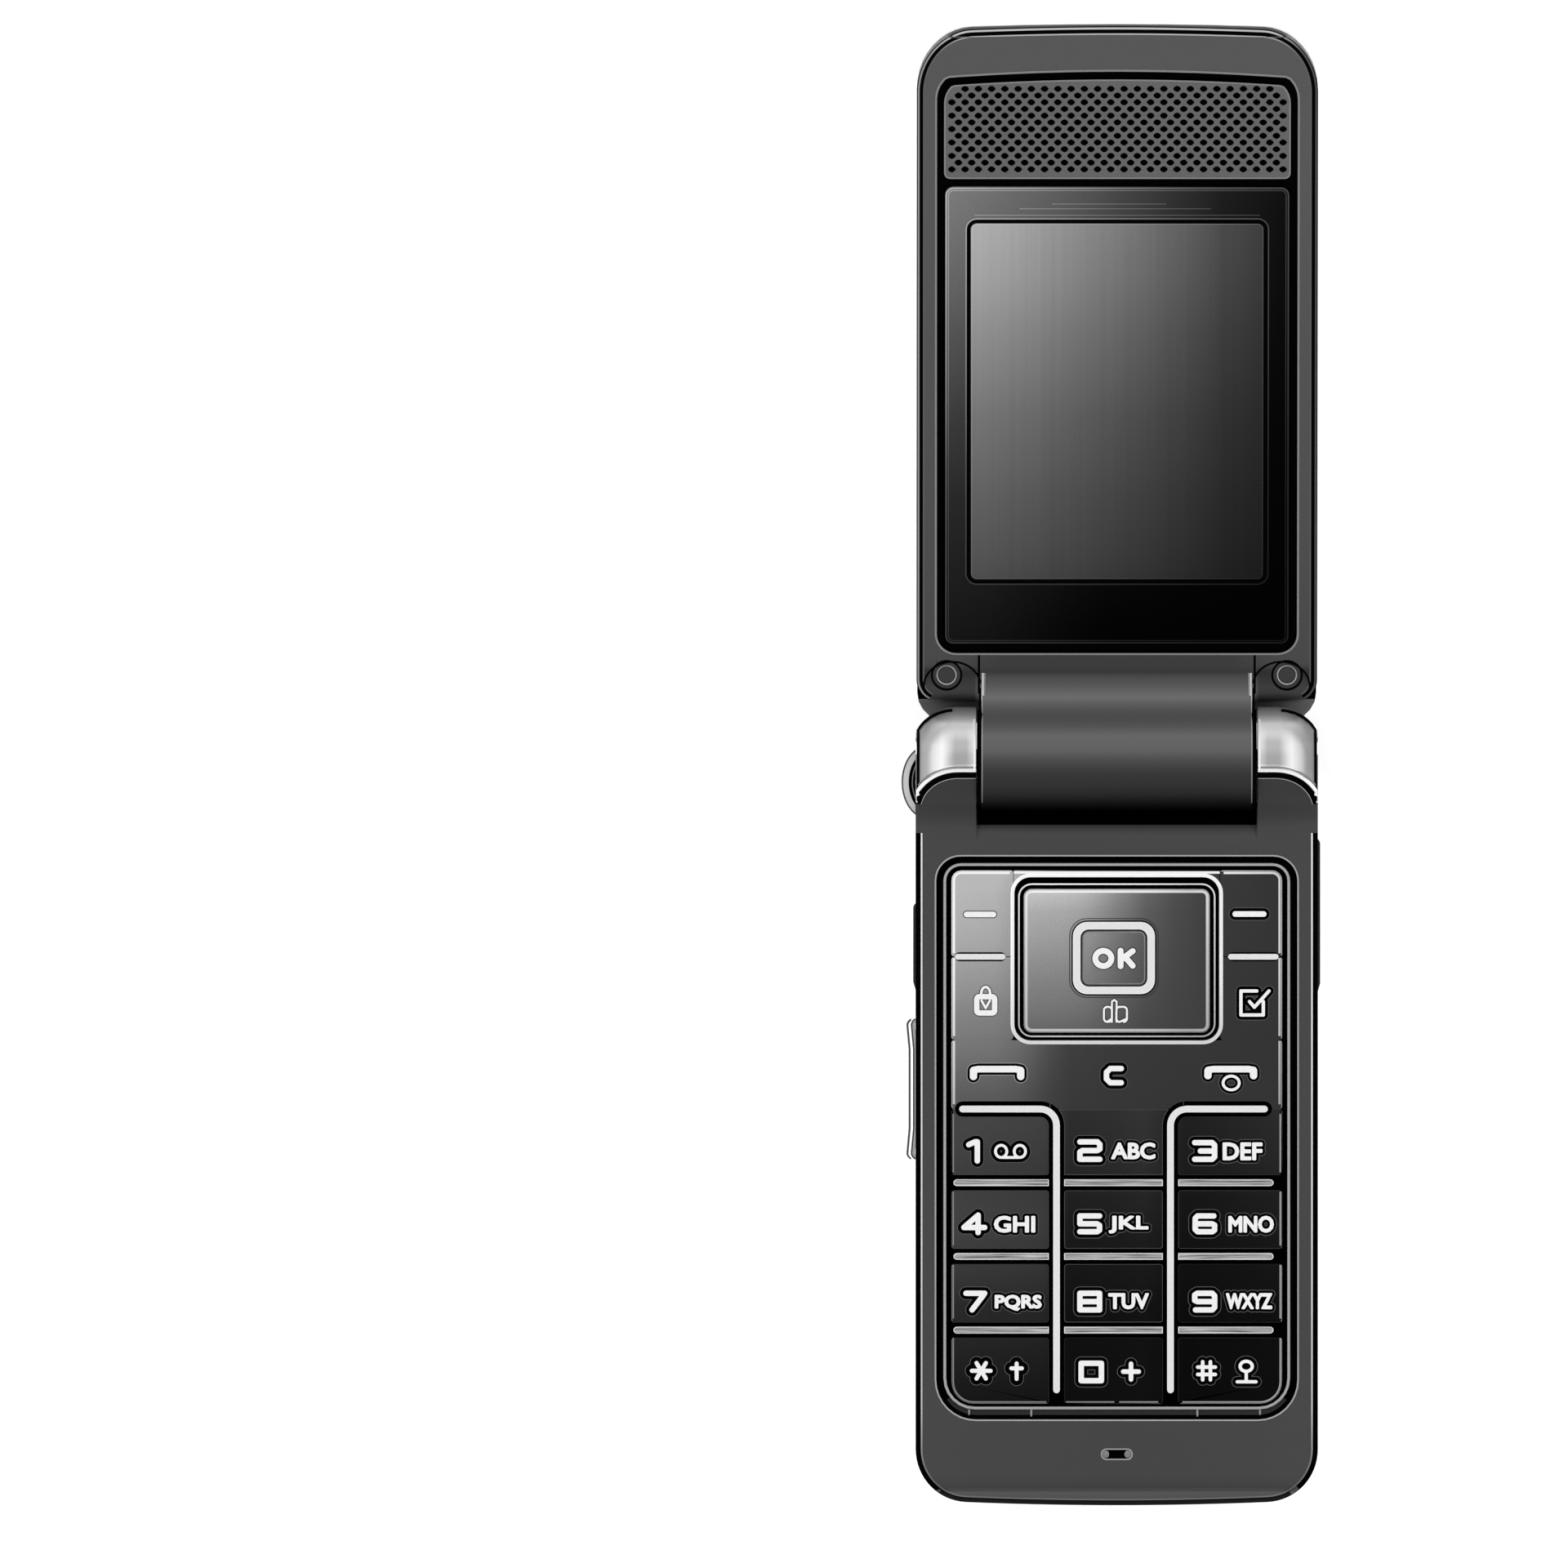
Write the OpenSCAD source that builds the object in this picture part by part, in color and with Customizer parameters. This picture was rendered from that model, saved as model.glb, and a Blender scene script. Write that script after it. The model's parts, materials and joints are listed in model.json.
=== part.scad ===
// Flip phone: a keypad base and a screen lid on one hinge, drawn lying on its back with the lid open.
// Base parts: x runs across, y up from the bottom edge to the hinge, z from the back to the keys.
// Lid parts: x runs across, y from the hinge axis to the tip; a depth is counted from the hinge axis
// towards the outer face, so the screen side has the small depths. All sizes are millimetres.

/* [Base] */
// Width of the base
base_w = 49.4; // [49.2:0.1:49.8]
// Length from the bottom edge to the top of the hinge ears
base_len = 98.1; // [98.1:0.1:98.6]
// Thickness from the back to the frame around the keys
base_thick = 9.0; // [9.0:0.1:9.1]
// Height where the silver rear case meets the dark front case
split_z = 4.6; // [4.5:0.1:4.7]
// Radius of the two bottom corners
corner_r = 6.5; // [5:0.5:8]
// Wall of the two base shells
wall = 1.5; // [1.4:0.1:1.6]
// Thickness of the battery cover plate
cover_t = 0.75; // [0.7:0.05:0.75]
// Length of the curved tail of the battery cover
tail_len = 17.2; // [16.8:0.1:17.4]

/* [Hinge] */
// Distance from the bottom edge to the hinge axis
hinge_y = 91.7; // [91.6:0.1:91.8]
// Height of the hinge axis above the back
hinge_z = 8.2; // [8.2:0.05:8.3]
// Tilt of the open lid above the plane of the base
lid_tilt = 13.2; // [13:0.1:14]
// Radius of the hinge ears
ear_r = 6.5; // [6.4:0.1:6.5]
// Inner face of the hinge ears, from the middle plane
ear_x = 17.3; // [17.3:0.1:17.5]
// Radius of the lid's hinge barrel
barrel_r = 6.3; // [6.2:0.1:6.3]
// Half length of the lid's hinge barrel
barrel_x = 16.65; // [16.4:0.05:16.7]
// Radius of the hinge pins
pin_r = 1.2; // [1.1:0.1:1.3]
// Radial play of the hinge pins in the lid
pin_play = 0.05; // [0.03:0.01:0.08]

/* [Lid] */
// Width of the lid
lid_w = 49.2; // [49:0.1:49.4]
// Length from the hinge axis to the tip
lid_len = 91.7; // [91.5:0.1:92]
// Depth of the inner face below the hinge axis
lid_in = 1.05; // [1.05:0.05:1.15]
// Depth of the parting line between the two lid covers
lid_mid = 3.45; // [3.4:0.05:3.5]
// Depth of the outer face
lid_out = 7.6; // [7.5:0.05:7.6]
// Length of the curved tip of the outer face
tip_len = 22; // [18:1:24]
// Drop of the outer face at the tip
tip_drop = 3.9; // [3.6:0.1:4]
// Half width of the screen window
window_x = 21.1; // [21:0.05:21.2]
// Lower and upper end of the screen window
window_y = [14.25, 71.7];
// Half width of the earpiece grille
grille_x = 21.3; // [21:0.05:21.4]
// Lower and upper end of the earpiece grille
grille_y = [72.7, 85.1];
// Half width of the outer front panel
panel_x = 19.1; // [19:0.05:19.3]
// Lower and upper end of the outer front panel
panel_y = [3.5, 80.3];
// Width of the trim around the front panel
trim_w = 1.4; // [1.2:0.1:1.4]

/* [Camera] */
// Half width of the camera bezel
camera_x = 5.25; // [5.2:0.05:5.3]
// Distance of the camera centre from the hinge axis
camera_y = 3.05; // [3.05:0.05:3.5]
// Depth of the camera bezel's face
camera_out = 7.85; // [7.75:0.05:7.85]

/* [Keypad] */
// Half width of the keys' field
keys_x = 20.3; // [20.2:0.05:20.3]
// Lower and upper end of the keys' field
keys_y = [12.5, 78.0];
// Height of the key tops
key_top = 8.7; // [8.6:0.05:8.8]
// Seam between neighbouring keys
seam = 0.1; // [0.08:0.02:0.16]
// Half width of the navigation key
nav_x = 11.45; // [11.4:0.05:11.5]
// Lower and upper end of the navigation key
nav_y = [58.05, 75.75];
// Half width of the well that the navigation key stands in
nav_well_x = 12.7; // [12.6:0.05:12.8]
// Lower and upper end of that well
nav_well_y = [57.0, 77.3];
// Half the distance between the two upright bars
bar_x = 7.0; // [6.95:0.05:7.05]
// Sideways offset of the bars from the middle plane
bar_shift = -0.4; // [-0.45:0.05:0]
// Sideways offset of the middle key in the navigation key
ok_x = -0.35; // [-0.35:0.05:0]
// Height of the bar above the first row of number keys, from the bottom edge
bar_y = 48.7; // [48.6:0.1:48.8]
// Distance from one row of number keys to the next
row_pitch = 9.05; // [9:0.05:9.1]
// Width of the bars
bar_w = 0.84; // [0.8:0.02:0.9]
// Width of the slots that the bars lie in
slot_w = 1.9; // [1.8:0.05:2]

/* [Sides] */
// Lower and upper end of the port cover
port_y = [62.9, 82.0];
// Lower and upper end of the card cover
card_y = [63.1, 74.1];
// Lower and upper height of both side covers
flap_z = [3.3, 7.25];
// Lower and upper end of the volume key
volume_y = [42.4, 59.9];
// Lower and upper height of the volume key
volume_z = [5.7, 8.1];

/* [Hidden] */

half_w = base_w / 2;
eps = 0.01;

// Ear: centre of the round, reach of the outer end's rounding, height of the oblique cut
ear_z = hinge_z - 0.4;
ear_top_y = base_len - ear_r;
ear_round = [5.0, 4.2];
ear_cut = [[86.3, 11.0], [91.0, 14.3]];
ear_low = 86.3;

// Front case: top plate, frame step and rib around the keys, chamfer of the bottom edge
top_plate_z = 7.9;
frame_x = 22.1;
frame_y = [10.65, 79.65];
frame_r = [4.8, 2.9];
frame_step_z = 8.25;
rib_x = [20.95, 21.3];
rib_y = [[12.15, 78.55], [11.8, 78.9]];
rib_r = [[3.5, 1.8], [3.85, 2.15]];
rib_z = 8.8;
groove_in = 0.5;
groove_z = 5.2;
chin = [[0.25, 6.2], [1.85, base_thick]];
tail_h = 5.6;
saddle_r = barrel_r + 0.35;
saddle_x = 17.2;
lip_y = [89.8, 90.9];

shoulder_curve = arc(82.6, base_thick + 3.88, 3.88, 3.88, -90, -42, 6);

// Side stripe: radii about the ear's centre
stripe_r = [3.2, 3.9];
panel_r = 2.6;
stripe_t = 0.6;

// Stack of the base, from the back
web_z = [6.55, 6.95];
key_low = 7.25;
post_r = 1.0;
post_low = 6.78;
sheet_z = [6.2, 6.5];
board_z = [5.4, 6.2];
floor_z = 3.9;
battery_well = [17.5, 22.5, 66.5];

// Number keys
rows = [for (i = [0:3]) bar_y - i * row_pitch];
bar_bend = 2.0;
bar_low = 14.2;
bar_end_x = 18.55;
row_end_x = 19.25;
side_bar_y = 67.4;
side_bar_w = 0.72;
side_slot_w = 1.12;
clear_x = 8.2;
nav_mid = (nav_y[0] + nav_y[1]) / 2;
ok_mid = 67.25;
ok_ring = [5.05, 4.45];
ok_ring_r = 1.75;
ok_ring_w = 0.95;
nav_floor = 7.35;

// Screws
low_screws = [17, 8];
high_screws = [20.6, 84.2];
lid_screw = [20.9, 10.3];

// Hinge: washers on the pins, lower edge of the lid beside the barrel and its round
washer_r = 6.1;
lobe_y = 6.75;
lobe_round = 1.3;

// Screen side of the lid: recess around window and grille, room for the display and the speaker
tip_corner = [7.0, 7.8];
tip_bow = 500;
tip_fall = 0.314;
recess_x = 22.1;
recess_y = [13.1, 86.2];
recess_bow = 280;
recess_r = [2.4, 3.4];
lcd_y = [19.3, 69.6];
speaker_y = [75.1, 83.1];

function arc(cx, cy, rx, ry, a0, a1, n) =
    [for (i = [0:n]) let (a = a0 + (a1 - a0) * i / n) [cx + rx * cos(a), cy + ry * sin(a)]];

function rounded(x0, x1, y0, y1, r, n = 6) = two_radii(x0, x1, y0, y1, r, r, n);

// Rounded rectangle with one radius at its lower corners and another at its upper ones
function two_radii(x0, x1, y0, y1, low, high, n = 6) = concat(
    arc(x1 - low, y0 + low, low, low, -90, 0, n), arc(x1 - high, y1 - high, high, high, 0, 90, n),
    arc(x0 + high, y1 - high, high, high, 90, 180, n), arc(x0 + low, y0 + low, low, low, 180, 270, n));

// Extrudes a (y, z) outline along x, a (x, z) outline along y, and a (x, y) outline along z
module along_x(x0, x1) translate([x0, 0, 0]) rotate([90, 0, 90]) linear_extrude(x1 - x0) children();
module along_y(y0, y1) translate([0, y1, 0]) rotate([90, 0, 0]) linear_extrude(y1 - y0) children();
module along_z(z0, z1) translate([0, 0, z0]) linear_extrude(z1 - z0) children();
module block(x, y, z) translate([x[0], y[0], z[0]]) cube([x[1] - x[0], y[1] - y[0], z[1] - z[0]]);
module both_sides() { children(); mirror([1, 0, 0]) children(); }

// Round rod along x
module rod(x0, x1, y, z, r) translate([x0, y, z]) rotate([0, 90, 0]) cylinder(h = x1 - x0, r = r, $fn = 48);

// Places base parts and lid parts in the open phone
module on_base() translate([0, -base_len / 2, 0]) children();
module on_lid() translate([0, hinge_y - base_len / 2, hinge_z]) rotate([lid_tilt, 0, 0]) children();

// Lid layer between two depths
module lid_layer(d0, d1) along_z(-d1, -d0) children();

// ---------------------------------------------------------------- base shells

// Plan of the base: round bottom corners on a slightly bowed bottom edge
module base_plan(inset = 0, top = 86.3) {
    bow = 430;
    corner_y = corner_r + bow - sqrt(pow(bow, 2) - pow(half_w - corner_r, 2));
    polygon(concat(
        arc(half_w - corner_r, corner_y, corner_r - inset, corner_r - inset, -90, 0, 8),
        [[half_w - inset, top], [inset - half_w, top]],
        arc(corner_r - half_w, corner_y, corner_r - inset, corner_r - inset, 180, 270, 8),
        arc(0, bow, bow - inset, bow - inset, -92.3, -87.7, 8)));
}

// Side outline of the base: curved tail, flat back, chamfered chin
module base_side(top = 91.5) polygon(concat(
    arc(tail_len, tail_h, tail_len, tail_h, 180, 270, 12),
    [[top, 0], [top, base_thick]], [chin[1], chin[0]]));

module base_body(inset, z0, z1, top = 86.3) intersection() {
    along_z(z0, z1) base_plan(inset, top);
    along_x(-half_w, half_w) base_side();
}

// Plan curve below which the dark shoulder shows and above which the ear shows
module shoulder_plan() polygon(concat(
    [[ear_x - 1, 80], [ear_x - 1, 89.9]], arc(19.5, 85.4, 5.2, 4.5, 90, 0, 8), [[24.7, 80]]));

// Side outline of the shoulder that rises to the ear
module shoulder_side() polygon(concat(
    [[80, groove_z], [80, base_thick]], shoulder_curve,
    [ear_cut[0], ear_cut[1], [91.0, groove_z]]));

// Room for the turning lid between the ears
module saddle_cut() {
    rod(-saddle_x, saddle_x, hinge_y, hinge_z, saddle_r);
    along_x(-saddle_x, saddle_x) polygon([[81.8, base_thick + 6], [81.8, base_thick], [83.6, 8.3],
        [84.6, 7.2], [85.3, 5.8], [91.7, 5.8], [91.7, base_thick + 6]]);
}

module flap_recess(y) block([half_w - 1.3, half_w + 1], [y[0] - 0.35, y[1] + 0.3],
    [flap_z[0] - 0.3, flap_z[1] + 0.3]);

module side_recesses() {
    flap_recess(port_y);
    mirror([1, 0, 0]) flap_recess(card_y);
    mirror([1, 0, 0]) block([half_w - 1.6, half_w + 1], [volume_y[0] - 0.3, volume_y[1] + 0.3],
        [volume_z[0] - 0.25, volume_z[1] + 0.25]);
    block([half_w - 4, half_w + 1], [66.4, 78.6], [split_z + 0.1, 7.05]);
    mirror([1, 0, 0]) block([half_w - 4, half_w + 1], [64.5, 73.0], [split_z + 0.1, 6.05]);
}

module base_front_case() color("dimgray") on_base() {
    front_shell();
    along_z(top_plate_z, rib_z) difference() {
        rib_plan(1);
        rib_plan(0);
    }
}

// Inner (0) or outer (1) outline of the rib around the keys
module rib_plan(side)
    polygon(two_radii(-rib_x[side], rib_x[side], rib_y[side][0], rib_y[side][1], rib_r[side][0], rib_r[side][1]));

module front_shell() difference() {
    union() {
        base_body(0, groove_z, base_thick, 86.3);
        base_body(groove_in, split_z, groove_z, 86.3);
        both_sides() intersection() {
            along_z(groove_z, 15) shoulder_plan();
            along_x(ear_x, half_w) shoulder_side();
            union() {
                block([0, 30], [79, ear_low], [0, 15]);
                block([0, 30], [ear_low - eps, 92], [base_thick, 15]);
            }
        }
        both_sides() along_x(half_w - 1.3, half_w - 0.1) side_panel();
    }
    difference() {
        block([eps - half_w, half_w - eps], [wall, 81.2], [0, top_plate_z]);
        both_sides() block([half_w - wall, 30], [0, 90], [0, 10]);
        difference() {
            block([-30, 30], [0, 90], [0, 10]);
            along_z(-1, 11) base_plan(wall, 90);
        }
        both_sides() translate([low_screws[0], low_screws[1], split_z]) cylinder(h = 4, r = 2, $fn = 32);
    }
    along_z(frame_step_z, 10)
        polygon(two_radii(-frame_x, frame_x, frame_y[0], frame_y[1], frame_r[0], frame_r[1]));
    along_z(7, 9) rib_plan(0);
    both_sides() translate([low_screws[0], low_screws[1], split_z - 1]) cylinder(h = 3.5, r = 0.8, $fn = 24);
    both_sides() translate([high_screws[0], high_screws[1], split_z - 1]) cylinder(h = 3.2, r = 0.8, $fn = 24);
    along_z(7, 10) polygon(rounded(-1.9, 1.9, 5.65, 6.95, 0.65));
    saddle_cut();
    side_recesses();
    both_sides() along_x(half_w - stripe_t - 0.05, half_w + 1) stripe(0.05);
}

// Tongue of the front case that fills the arch in the ear's side
module side_panel() {
    intersection() {
        polygon(concat([[80, groove_z + 0.1], [ear_top_y, ear_z - panel_r]],
            arc(ear_top_y, ear_z, panel_r, panel_r, -90, 90, 12), [[86.4, 10.8]],
            [for (i = [6:-1:0]) shoulder_curve[i] - [0, 0.02]], [[80, base_thick - 0.02]]));
        square([200, 20]);
    }
}

// Bright stripe along the side that arches round the ear's centre; grow widens it all round
module stripe(grow = 0) {
    r0 = stripe_r[0] - grow;
    r1 = stripe_r[1] + grow;
    low = port_y[1] + 0.3;
    polygon(concat([[low, ear_z - r1]], arc(ear_top_y, ear_z, r1, r1, -90, 80, 14), [[86.4, 11.1 + grow]],
        [[86.4, 10.95 - grow]], arc(ear_top_y, ear_z, r0, r0, 75, -90, 14), [[low, ear_z - r0]]));
}

// Straight run of the stripe below the side covers
module stripe_run(y0, y1, grow = 0) translate([y0, ear_z - stripe_r[1] - grow])
    square([y1 - y0, stripe_r[1] - stripe_r[0] + 2 * grow]);

module stripes(x0, x1, grow) {
    both_sides() along_x(x0, x1) stripe(grow);
    along_x(x0, x1) stripe_run(tail_len + 0.2, port_y[0] - 0.4, grow);
    mirror([1, 0, 0]) along_x(x0, x1) stripe_run(tail_len + 0.2, card_y[0] - 0.4, grow);
    mirror([1, 0, 0]) along_x(x0, x1) stripe_run(card_y[1] + 0.3, port_y[1] + 0.31, grow);
}

module side_trims() color("whitesmoke") on_base() difference() {
    stripes(half_w - stripe_t, half_w, 0);
    block([-30, 30], [0, 100], [split_z - eps, groove_z]);
}

module base_rear_case() color("silver") on_base() difference() {
    union() {
        intersection() {
            base_body(0, cover_t + 0.05, split_z, ear_low);
            block([-30, 30], [tail_len + 0.2, 100], [0, 10]);
        }
        base_body(wall + 0.9, 2.6, split_z, 30);
        block([-ear_x, ear_x], [80, lip_y[1]], [cover_t + 0.05, split_z]);
        block([-half_w + 1, half_w - 1], [lip_y[0], lip_y[1]], [0, cover_t + 0.06]);
    }
    block([-battery_well[0], battery_well[0]], [battery_well[1], battery_well[2]], [0, floor_z]);
    block([-16.5, 0], [68.2, 83.2], [0, floor_z]);
    block([1.5, 16.5], [68.2, 83.2], [0, floor_z]);
    both_sides() block([battery_well[0] + 1, half_w - wall], [22, 80], [1.9, split_z + 1]);
    saddle_cut();
    side_recesses();
    both_sides() translate([low_screws[0], low_screws[1], 0]) cylinder(h = 10, r = 0.9, $fn = 24);
    both_sides() translate([low_screws[0], low_screws[1], 0]) cylinder(h = 3.5, r = 1.7, $fn = 24);
    both_sides() translate([high_screws[0], high_screws[1], 0]) cylinder(h = 10, r = 0.9, $fn = 24);
    both_sides() translate([high_screws[0], high_screws[1], 0]) cylinder(h = 1.9, r = 1.7, $fn = 24);
    stripes(half_w - stripe_t - 0.05, half_w + 1, 0.05);
}

// Battery cover: flat plate under the whole back and a curved tail round the bottom end
module battery_cover() color("lightgray") on_base() difference() {
    union() {
        intersection() {
            base_body(0, 0, cover_t, 89.6);
            block([-30, 30], [2, 89.6], [0, cover_t]);
        }
        intersection() {
            base_body(0, 0, split_z - 0.05, 40);
            block([-30, 30], [0, tail_len], [0, 10]);
        }
    }
    intersection() {
        along_z(2.3, 6) base_plan(wall + 0.4, 40);
        block([-30, 30], [wall + 0.6, tail_len + 1], [0, 10]);
    }
}

// ---------------------------------------------------------------- hinge ears

// Profile of the ear's outer end: x against the distance from the ear's centre line
function ear_end(n = 7) = arc(half_w - ear_round[0], ear_r - ear_round[1], ear_round[0], ear_round[1], 90, 0, n);

module ear_solid() {
    translate([0, ear_top_y, ear_z]) rotate([0, 90, 0])
        rotate_extrude($fn = 64) polygon(concat([[0, ear_x], [ear_r, ear_x]],
            [for (p = ear_end()) [p[1], p[0]]], [[0, half_w]]));
    along_y(ear_low, ear_top_y) translate([0, ear_z]) polygon(concat([[ear_x, -ear_r], [ear_x, ear_r]],
        ear_end(), [for (p = [for (i = [7:-1:0]) ear_end()[i]]) [p[0], -p[1]]]));
}

module hinge_ear() difference() {
    ear_solid();
    along_x(0, 30) polygon([[80, 20], [80, ear_cut[0][1] - 0.02], ear_cut[0], ear_cut[1], [92, 20]]);
    along_z(base_thick, 16) shoulder_plan();
    block([0, 30], [80, ear_low], [0, 20]);
    along_x(half_w - 1.35, 30) side_panel();
    along_x(half_w - stripe_t - 0.05, 30) stripe(0.05);
    along_x(half_w - stripe_t - 0.05, 30) translate([86, 10.7]) square([1.6, 0.8]);
    rod(ear_x - 1, half_w - 1.5, hinge_y, hinge_z, pin_r);
}

module left_hinge_ear() color("silver") on_base() mirror([1, 0, 0]) hinge_ear();
module right_hinge_ear() color("silver") on_base() hinge_ear();

// Pins with the wide washers that fill the gaps between the ears and the barrel
module hinge_pins() color("darkgray") on_base() both_sides() {
    rod(9, half_w - 1.6, hinge_y, hinge_z, pin_r);
    rod(barrel_x + 0.1, saddle_x - 0.05, hinge_y, hinge_z, washer_r);
}

// Half-round strap bar on the left ear
module lanyard_loop() color("silver") on_base() translate([0, 0, 7.1]) linear_extrude(1.4) difference() {
    polygon(arc(-23.3, 88.85, 3.15, 4.5, 90, 270, 20));
    polygon(arc(-23.3, 88.85, 2.2, 3.5, 90, 270, 20));
    translate([-half_w, 80]) square([10, 20]);
}

// ---------------------------------------------------------------- keypad

// Outline of the upright bar with its bend and short level arm; w is half its width
function bent_bar(w) = concat(
    arc(-bar_end_x, bar_y, w, w, 270, 90, 6),
    arc(-bar_x - bar_bend, bar_y - bar_bend, bar_bend + w, bar_bend + w, 90, 0, 8),
    arc(-bar_x, bar_low, w, w, 0, -180, 6),
    arc(-bar_x - bar_bend, bar_y - bar_bend, bar_bend - w, bar_bend - w, 0, 90, 8));

module bars_plan(w) translate([bar_shift, 0]) {
    both_sides() polygon(bent_bar(w));
    for (i = [1:3]) {
        translate([-bar_x + slot_w / 2 - eps, rows[i] - w])
            square([2 * bar_x - slot_w + 2 * eps, 2 * w]);
        both_sides() translate([0, rows[i]]) polygon(concat(
            arc(-row_end_x, 0, w, w, 270, 90, 6), [[-bar_x - slot_w / 2 + eps, w]],
            [[-bar_x - slot_w / 2 + eps, -w]]));
    }
}

// Short bars between the soft keys and the shortcut keys
module side_bars_plan(w)
    both_sides() translate([0, side_bar_y]) polygon(rounded(-19.9, -13.65, -w, w, w - eps, 4));

module nav_rim_plan() difference() {
    polygon(rounded(-12.15, 12.15, 57.5, 76.45, 1.7));
    polygon(rounded(-11.9, 11.9, 57.75, 76.2, 1.45));
}

// Strip of the field's top edge that closes the well of the navigation key
module well_top_plan() difference() {
    translate([0.06 - nav_well_x, nav_well_y[1] - 2])
        square([2 * nav_well_x - 0.12, 2 + keys_y[1] - nav_well_y[1]]);
    polygon(rounded(-nav_well_x, nav_well_x, nav_well_y[0], nav_well_y[1], 2.1));
}

// Carrier under the keys with the bright bars and the thin rim round the navigation key
module keypad_frame() color("gainsboro") on_base() {
    difference() {
        along_z(web_z[0], web_z[1]) polygon(rounded(-21.6, 21.6, 11.9, 79.4, 1.5, 4));
        for (p = post_places()) translate([p[0], p[1], 6]) cylinder(h = 2, r = post_r + 0.3, $fn = 24);
        block([-9.6, 9.6], [nav_mid - 7.1, nav_mid + 7.1], [6, 8]);
        block([20.3, 30], [65.9, 79.1], [6, 8]);
    }
    along_z(web_z[1] - eps, key_top) {
        bars_plan(bar_w / 2);
        side_bars_plan(side_bar_w / 2);
        nav_rim_plan();
        well_top_plan();
    }
}

// Corner radii of the whole field of keys, then the field of each key: [x0, x1, y0, y1]
keys_r = [2.7, 1.2];
inner_x = bar_x - slot_w / 2;
outer_x = bar_x + slot_w / 2;
function col(c) = c == 1 ? [-keys_x, bar_shift - outer_x]
    : c == 2 ? [bar_shift - inner_x, bar_shift + inner_x] : [bar_shift + outer_x, keys_x];
function row_lo(r) = r == 4 ? keys_y[0] : rows[r] + slot_w / 2;
function row_hi(r) = r == 1 ? bar_y - seam / 2 : rows[r - 1] - slot_w / 2;
// The middle key of the first row also reaches round the bends of the two upright bars
function widen(r, c) = r == 1 && c == 2 ? slot_w - 0.1 : 0;
function number_field(r, c) = [col(c)[0] - widen(r, c), col(c)[1] + widen(r, c), row_lo(r), row_hi(r)];
soft_field = [-keys_x, -nav_well_x - 0.02, side_bar_y + seam / 2, keys_y[1]];
shortcut_field = [-keys_x, -nav_well_x - 0.02, nav_well_y[0] + 0.2 + seam / 2, side_bar_y - seam / 2];
send_field = [-keys_x, -clear_x - seam / 2, bar_y + seam / 2, nav_well_y[0] + 0.2 - seam / 2];
clear_field = [-clear_x + seam / 2, clear_x - seam / 2, bar_y + seam / 2, nav_well_y[0]];
function flip(f) = [-f[1], -f[0], f[2], f[3]];
function middle(f) = [(f[0] + f[1]) / 2, (f[2] + f[3]) / 2];
function post_places() = concat([for (r = [1:4], c = [1:3]) middle(number_field(r, c))],
    [for (f = [soft_field, shortcut_field, send_field]) each [middle(f), middle(flip(f))]],
    [middle(clear_field), [ok_x, ok_mid]]);

// Outline of the whole field of keys, with round lower corners and the navigation well left out
module field_plan() difference() {
    polygon(two_radii(-keys_x, keys_x, keys_y[0], keys_y[1], keys_r[0], keys_r[1]));
    polygon(rounded(-nav_well_x, nav_well_x, nav_well_y[0], nav_well_y[1], 2.1));
    bars_plan(slot_w / 2);
    side_bars_plan(side_slot_w / 2);
}

module key(f) on_base() {
    along_z(key_low, key_top) intersection() {
        field_plan();
        polygon(rounded(f[0], f[1], f[2], f[3], 0.3, 3));
    }
    translate([middle(f)[0], middle(f)[1], post_low]) cylinder(h = key_low - post_low + eps, r = post_r, $fn = 24);
}

module number_key(r, c) color("dimgray") key(number_field(r, c));
module key_1() number_key(1, 1);
module key_2() number_key(1, 2);
module key_3() number_key(1, 3);
module key_4() number_key(2, 1);
module key_5() number_key(2, 2);
module key_6() number_key(2, 3);
module key_7() number_key(3, 1);
module key_8() number_key(3, 2);
module key_9() number_key(3, 3);
module key_star() number_key(4, 1);
module key_0() number_key(4, 2);
module key_hash() number_key(4, 3);
module left_soft_key() color("darkgray") key(soft_field);
module right_soft_key() color("gray") key(flip(soft_field));
module left_shortcut_key() color("darkgray") key(shortcut_field);
module right_shortcut_key() color("gray") key(flip(shortcut_field));
module send_key() color("gray") key(send_field);
module clear_key() color("gray") key(clear_field);
module end_key() color("gray") key(flip(send_field));

// Gimbal ring that lets the navigation key tilt sideways
module nav_pivot() color("black") on_base() along_z(7.0, nav_floor - 0.1) difference() {
    polygon(rounded(-9, 9, nav_mid - 6.5, nav_mid + 6.5, 1, 3));
    polygon(rounded(-7, 7, nav_mid - 5.6, nav_mid + 5.6, 1, 3));
}

module nav_key() color("gray") on_base() difference() {
    union() {
        along_z(nav_floor + 0.25, key_top) polygon(rounded(-nav_x, nav_x, nav_y[0], nav_y[1], 1.0));
        along_z(key_top - eps, key_top + 0.15)
            polygon(rounded(ok_x - ok_ring[0], ok_x + ok_ring[0], ok_mid - ok_ring[1], ok_mid + ok_ring[1], ok_ring_r));
    }
    along_z(7, 10) polygon(rounded(ok_x + ok_ring_w - ok_ring[0], ok_x + ok_ring[0] - ok_ring_w,
        ok_mid - ok_ring[1] + ok_ring_w, ok_mid + ok_ring[1] - ok_ring_w, ok_ring_r - ok_ring_w + 0.2));
}

module ok_key() color("gray") on_base() {
    in = ok_ring_w + 0.2;
    along_z(nav_floor, key_top + 0.05) polygon(rounded(ok_x + in - ok_ring[0], ok_x + ok_ring[0] - in,
        ok_mid - ok_ring[1] + in, ok_mid + ok_ring[1] - in, 0.8));
    translate([ok_x, ok_mid, post_low]) cylinder(h = nav_floor - post_low + eps, r = post_r, $fn = 24);
}

// ---------------------------------------------------------------- base innards

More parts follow.
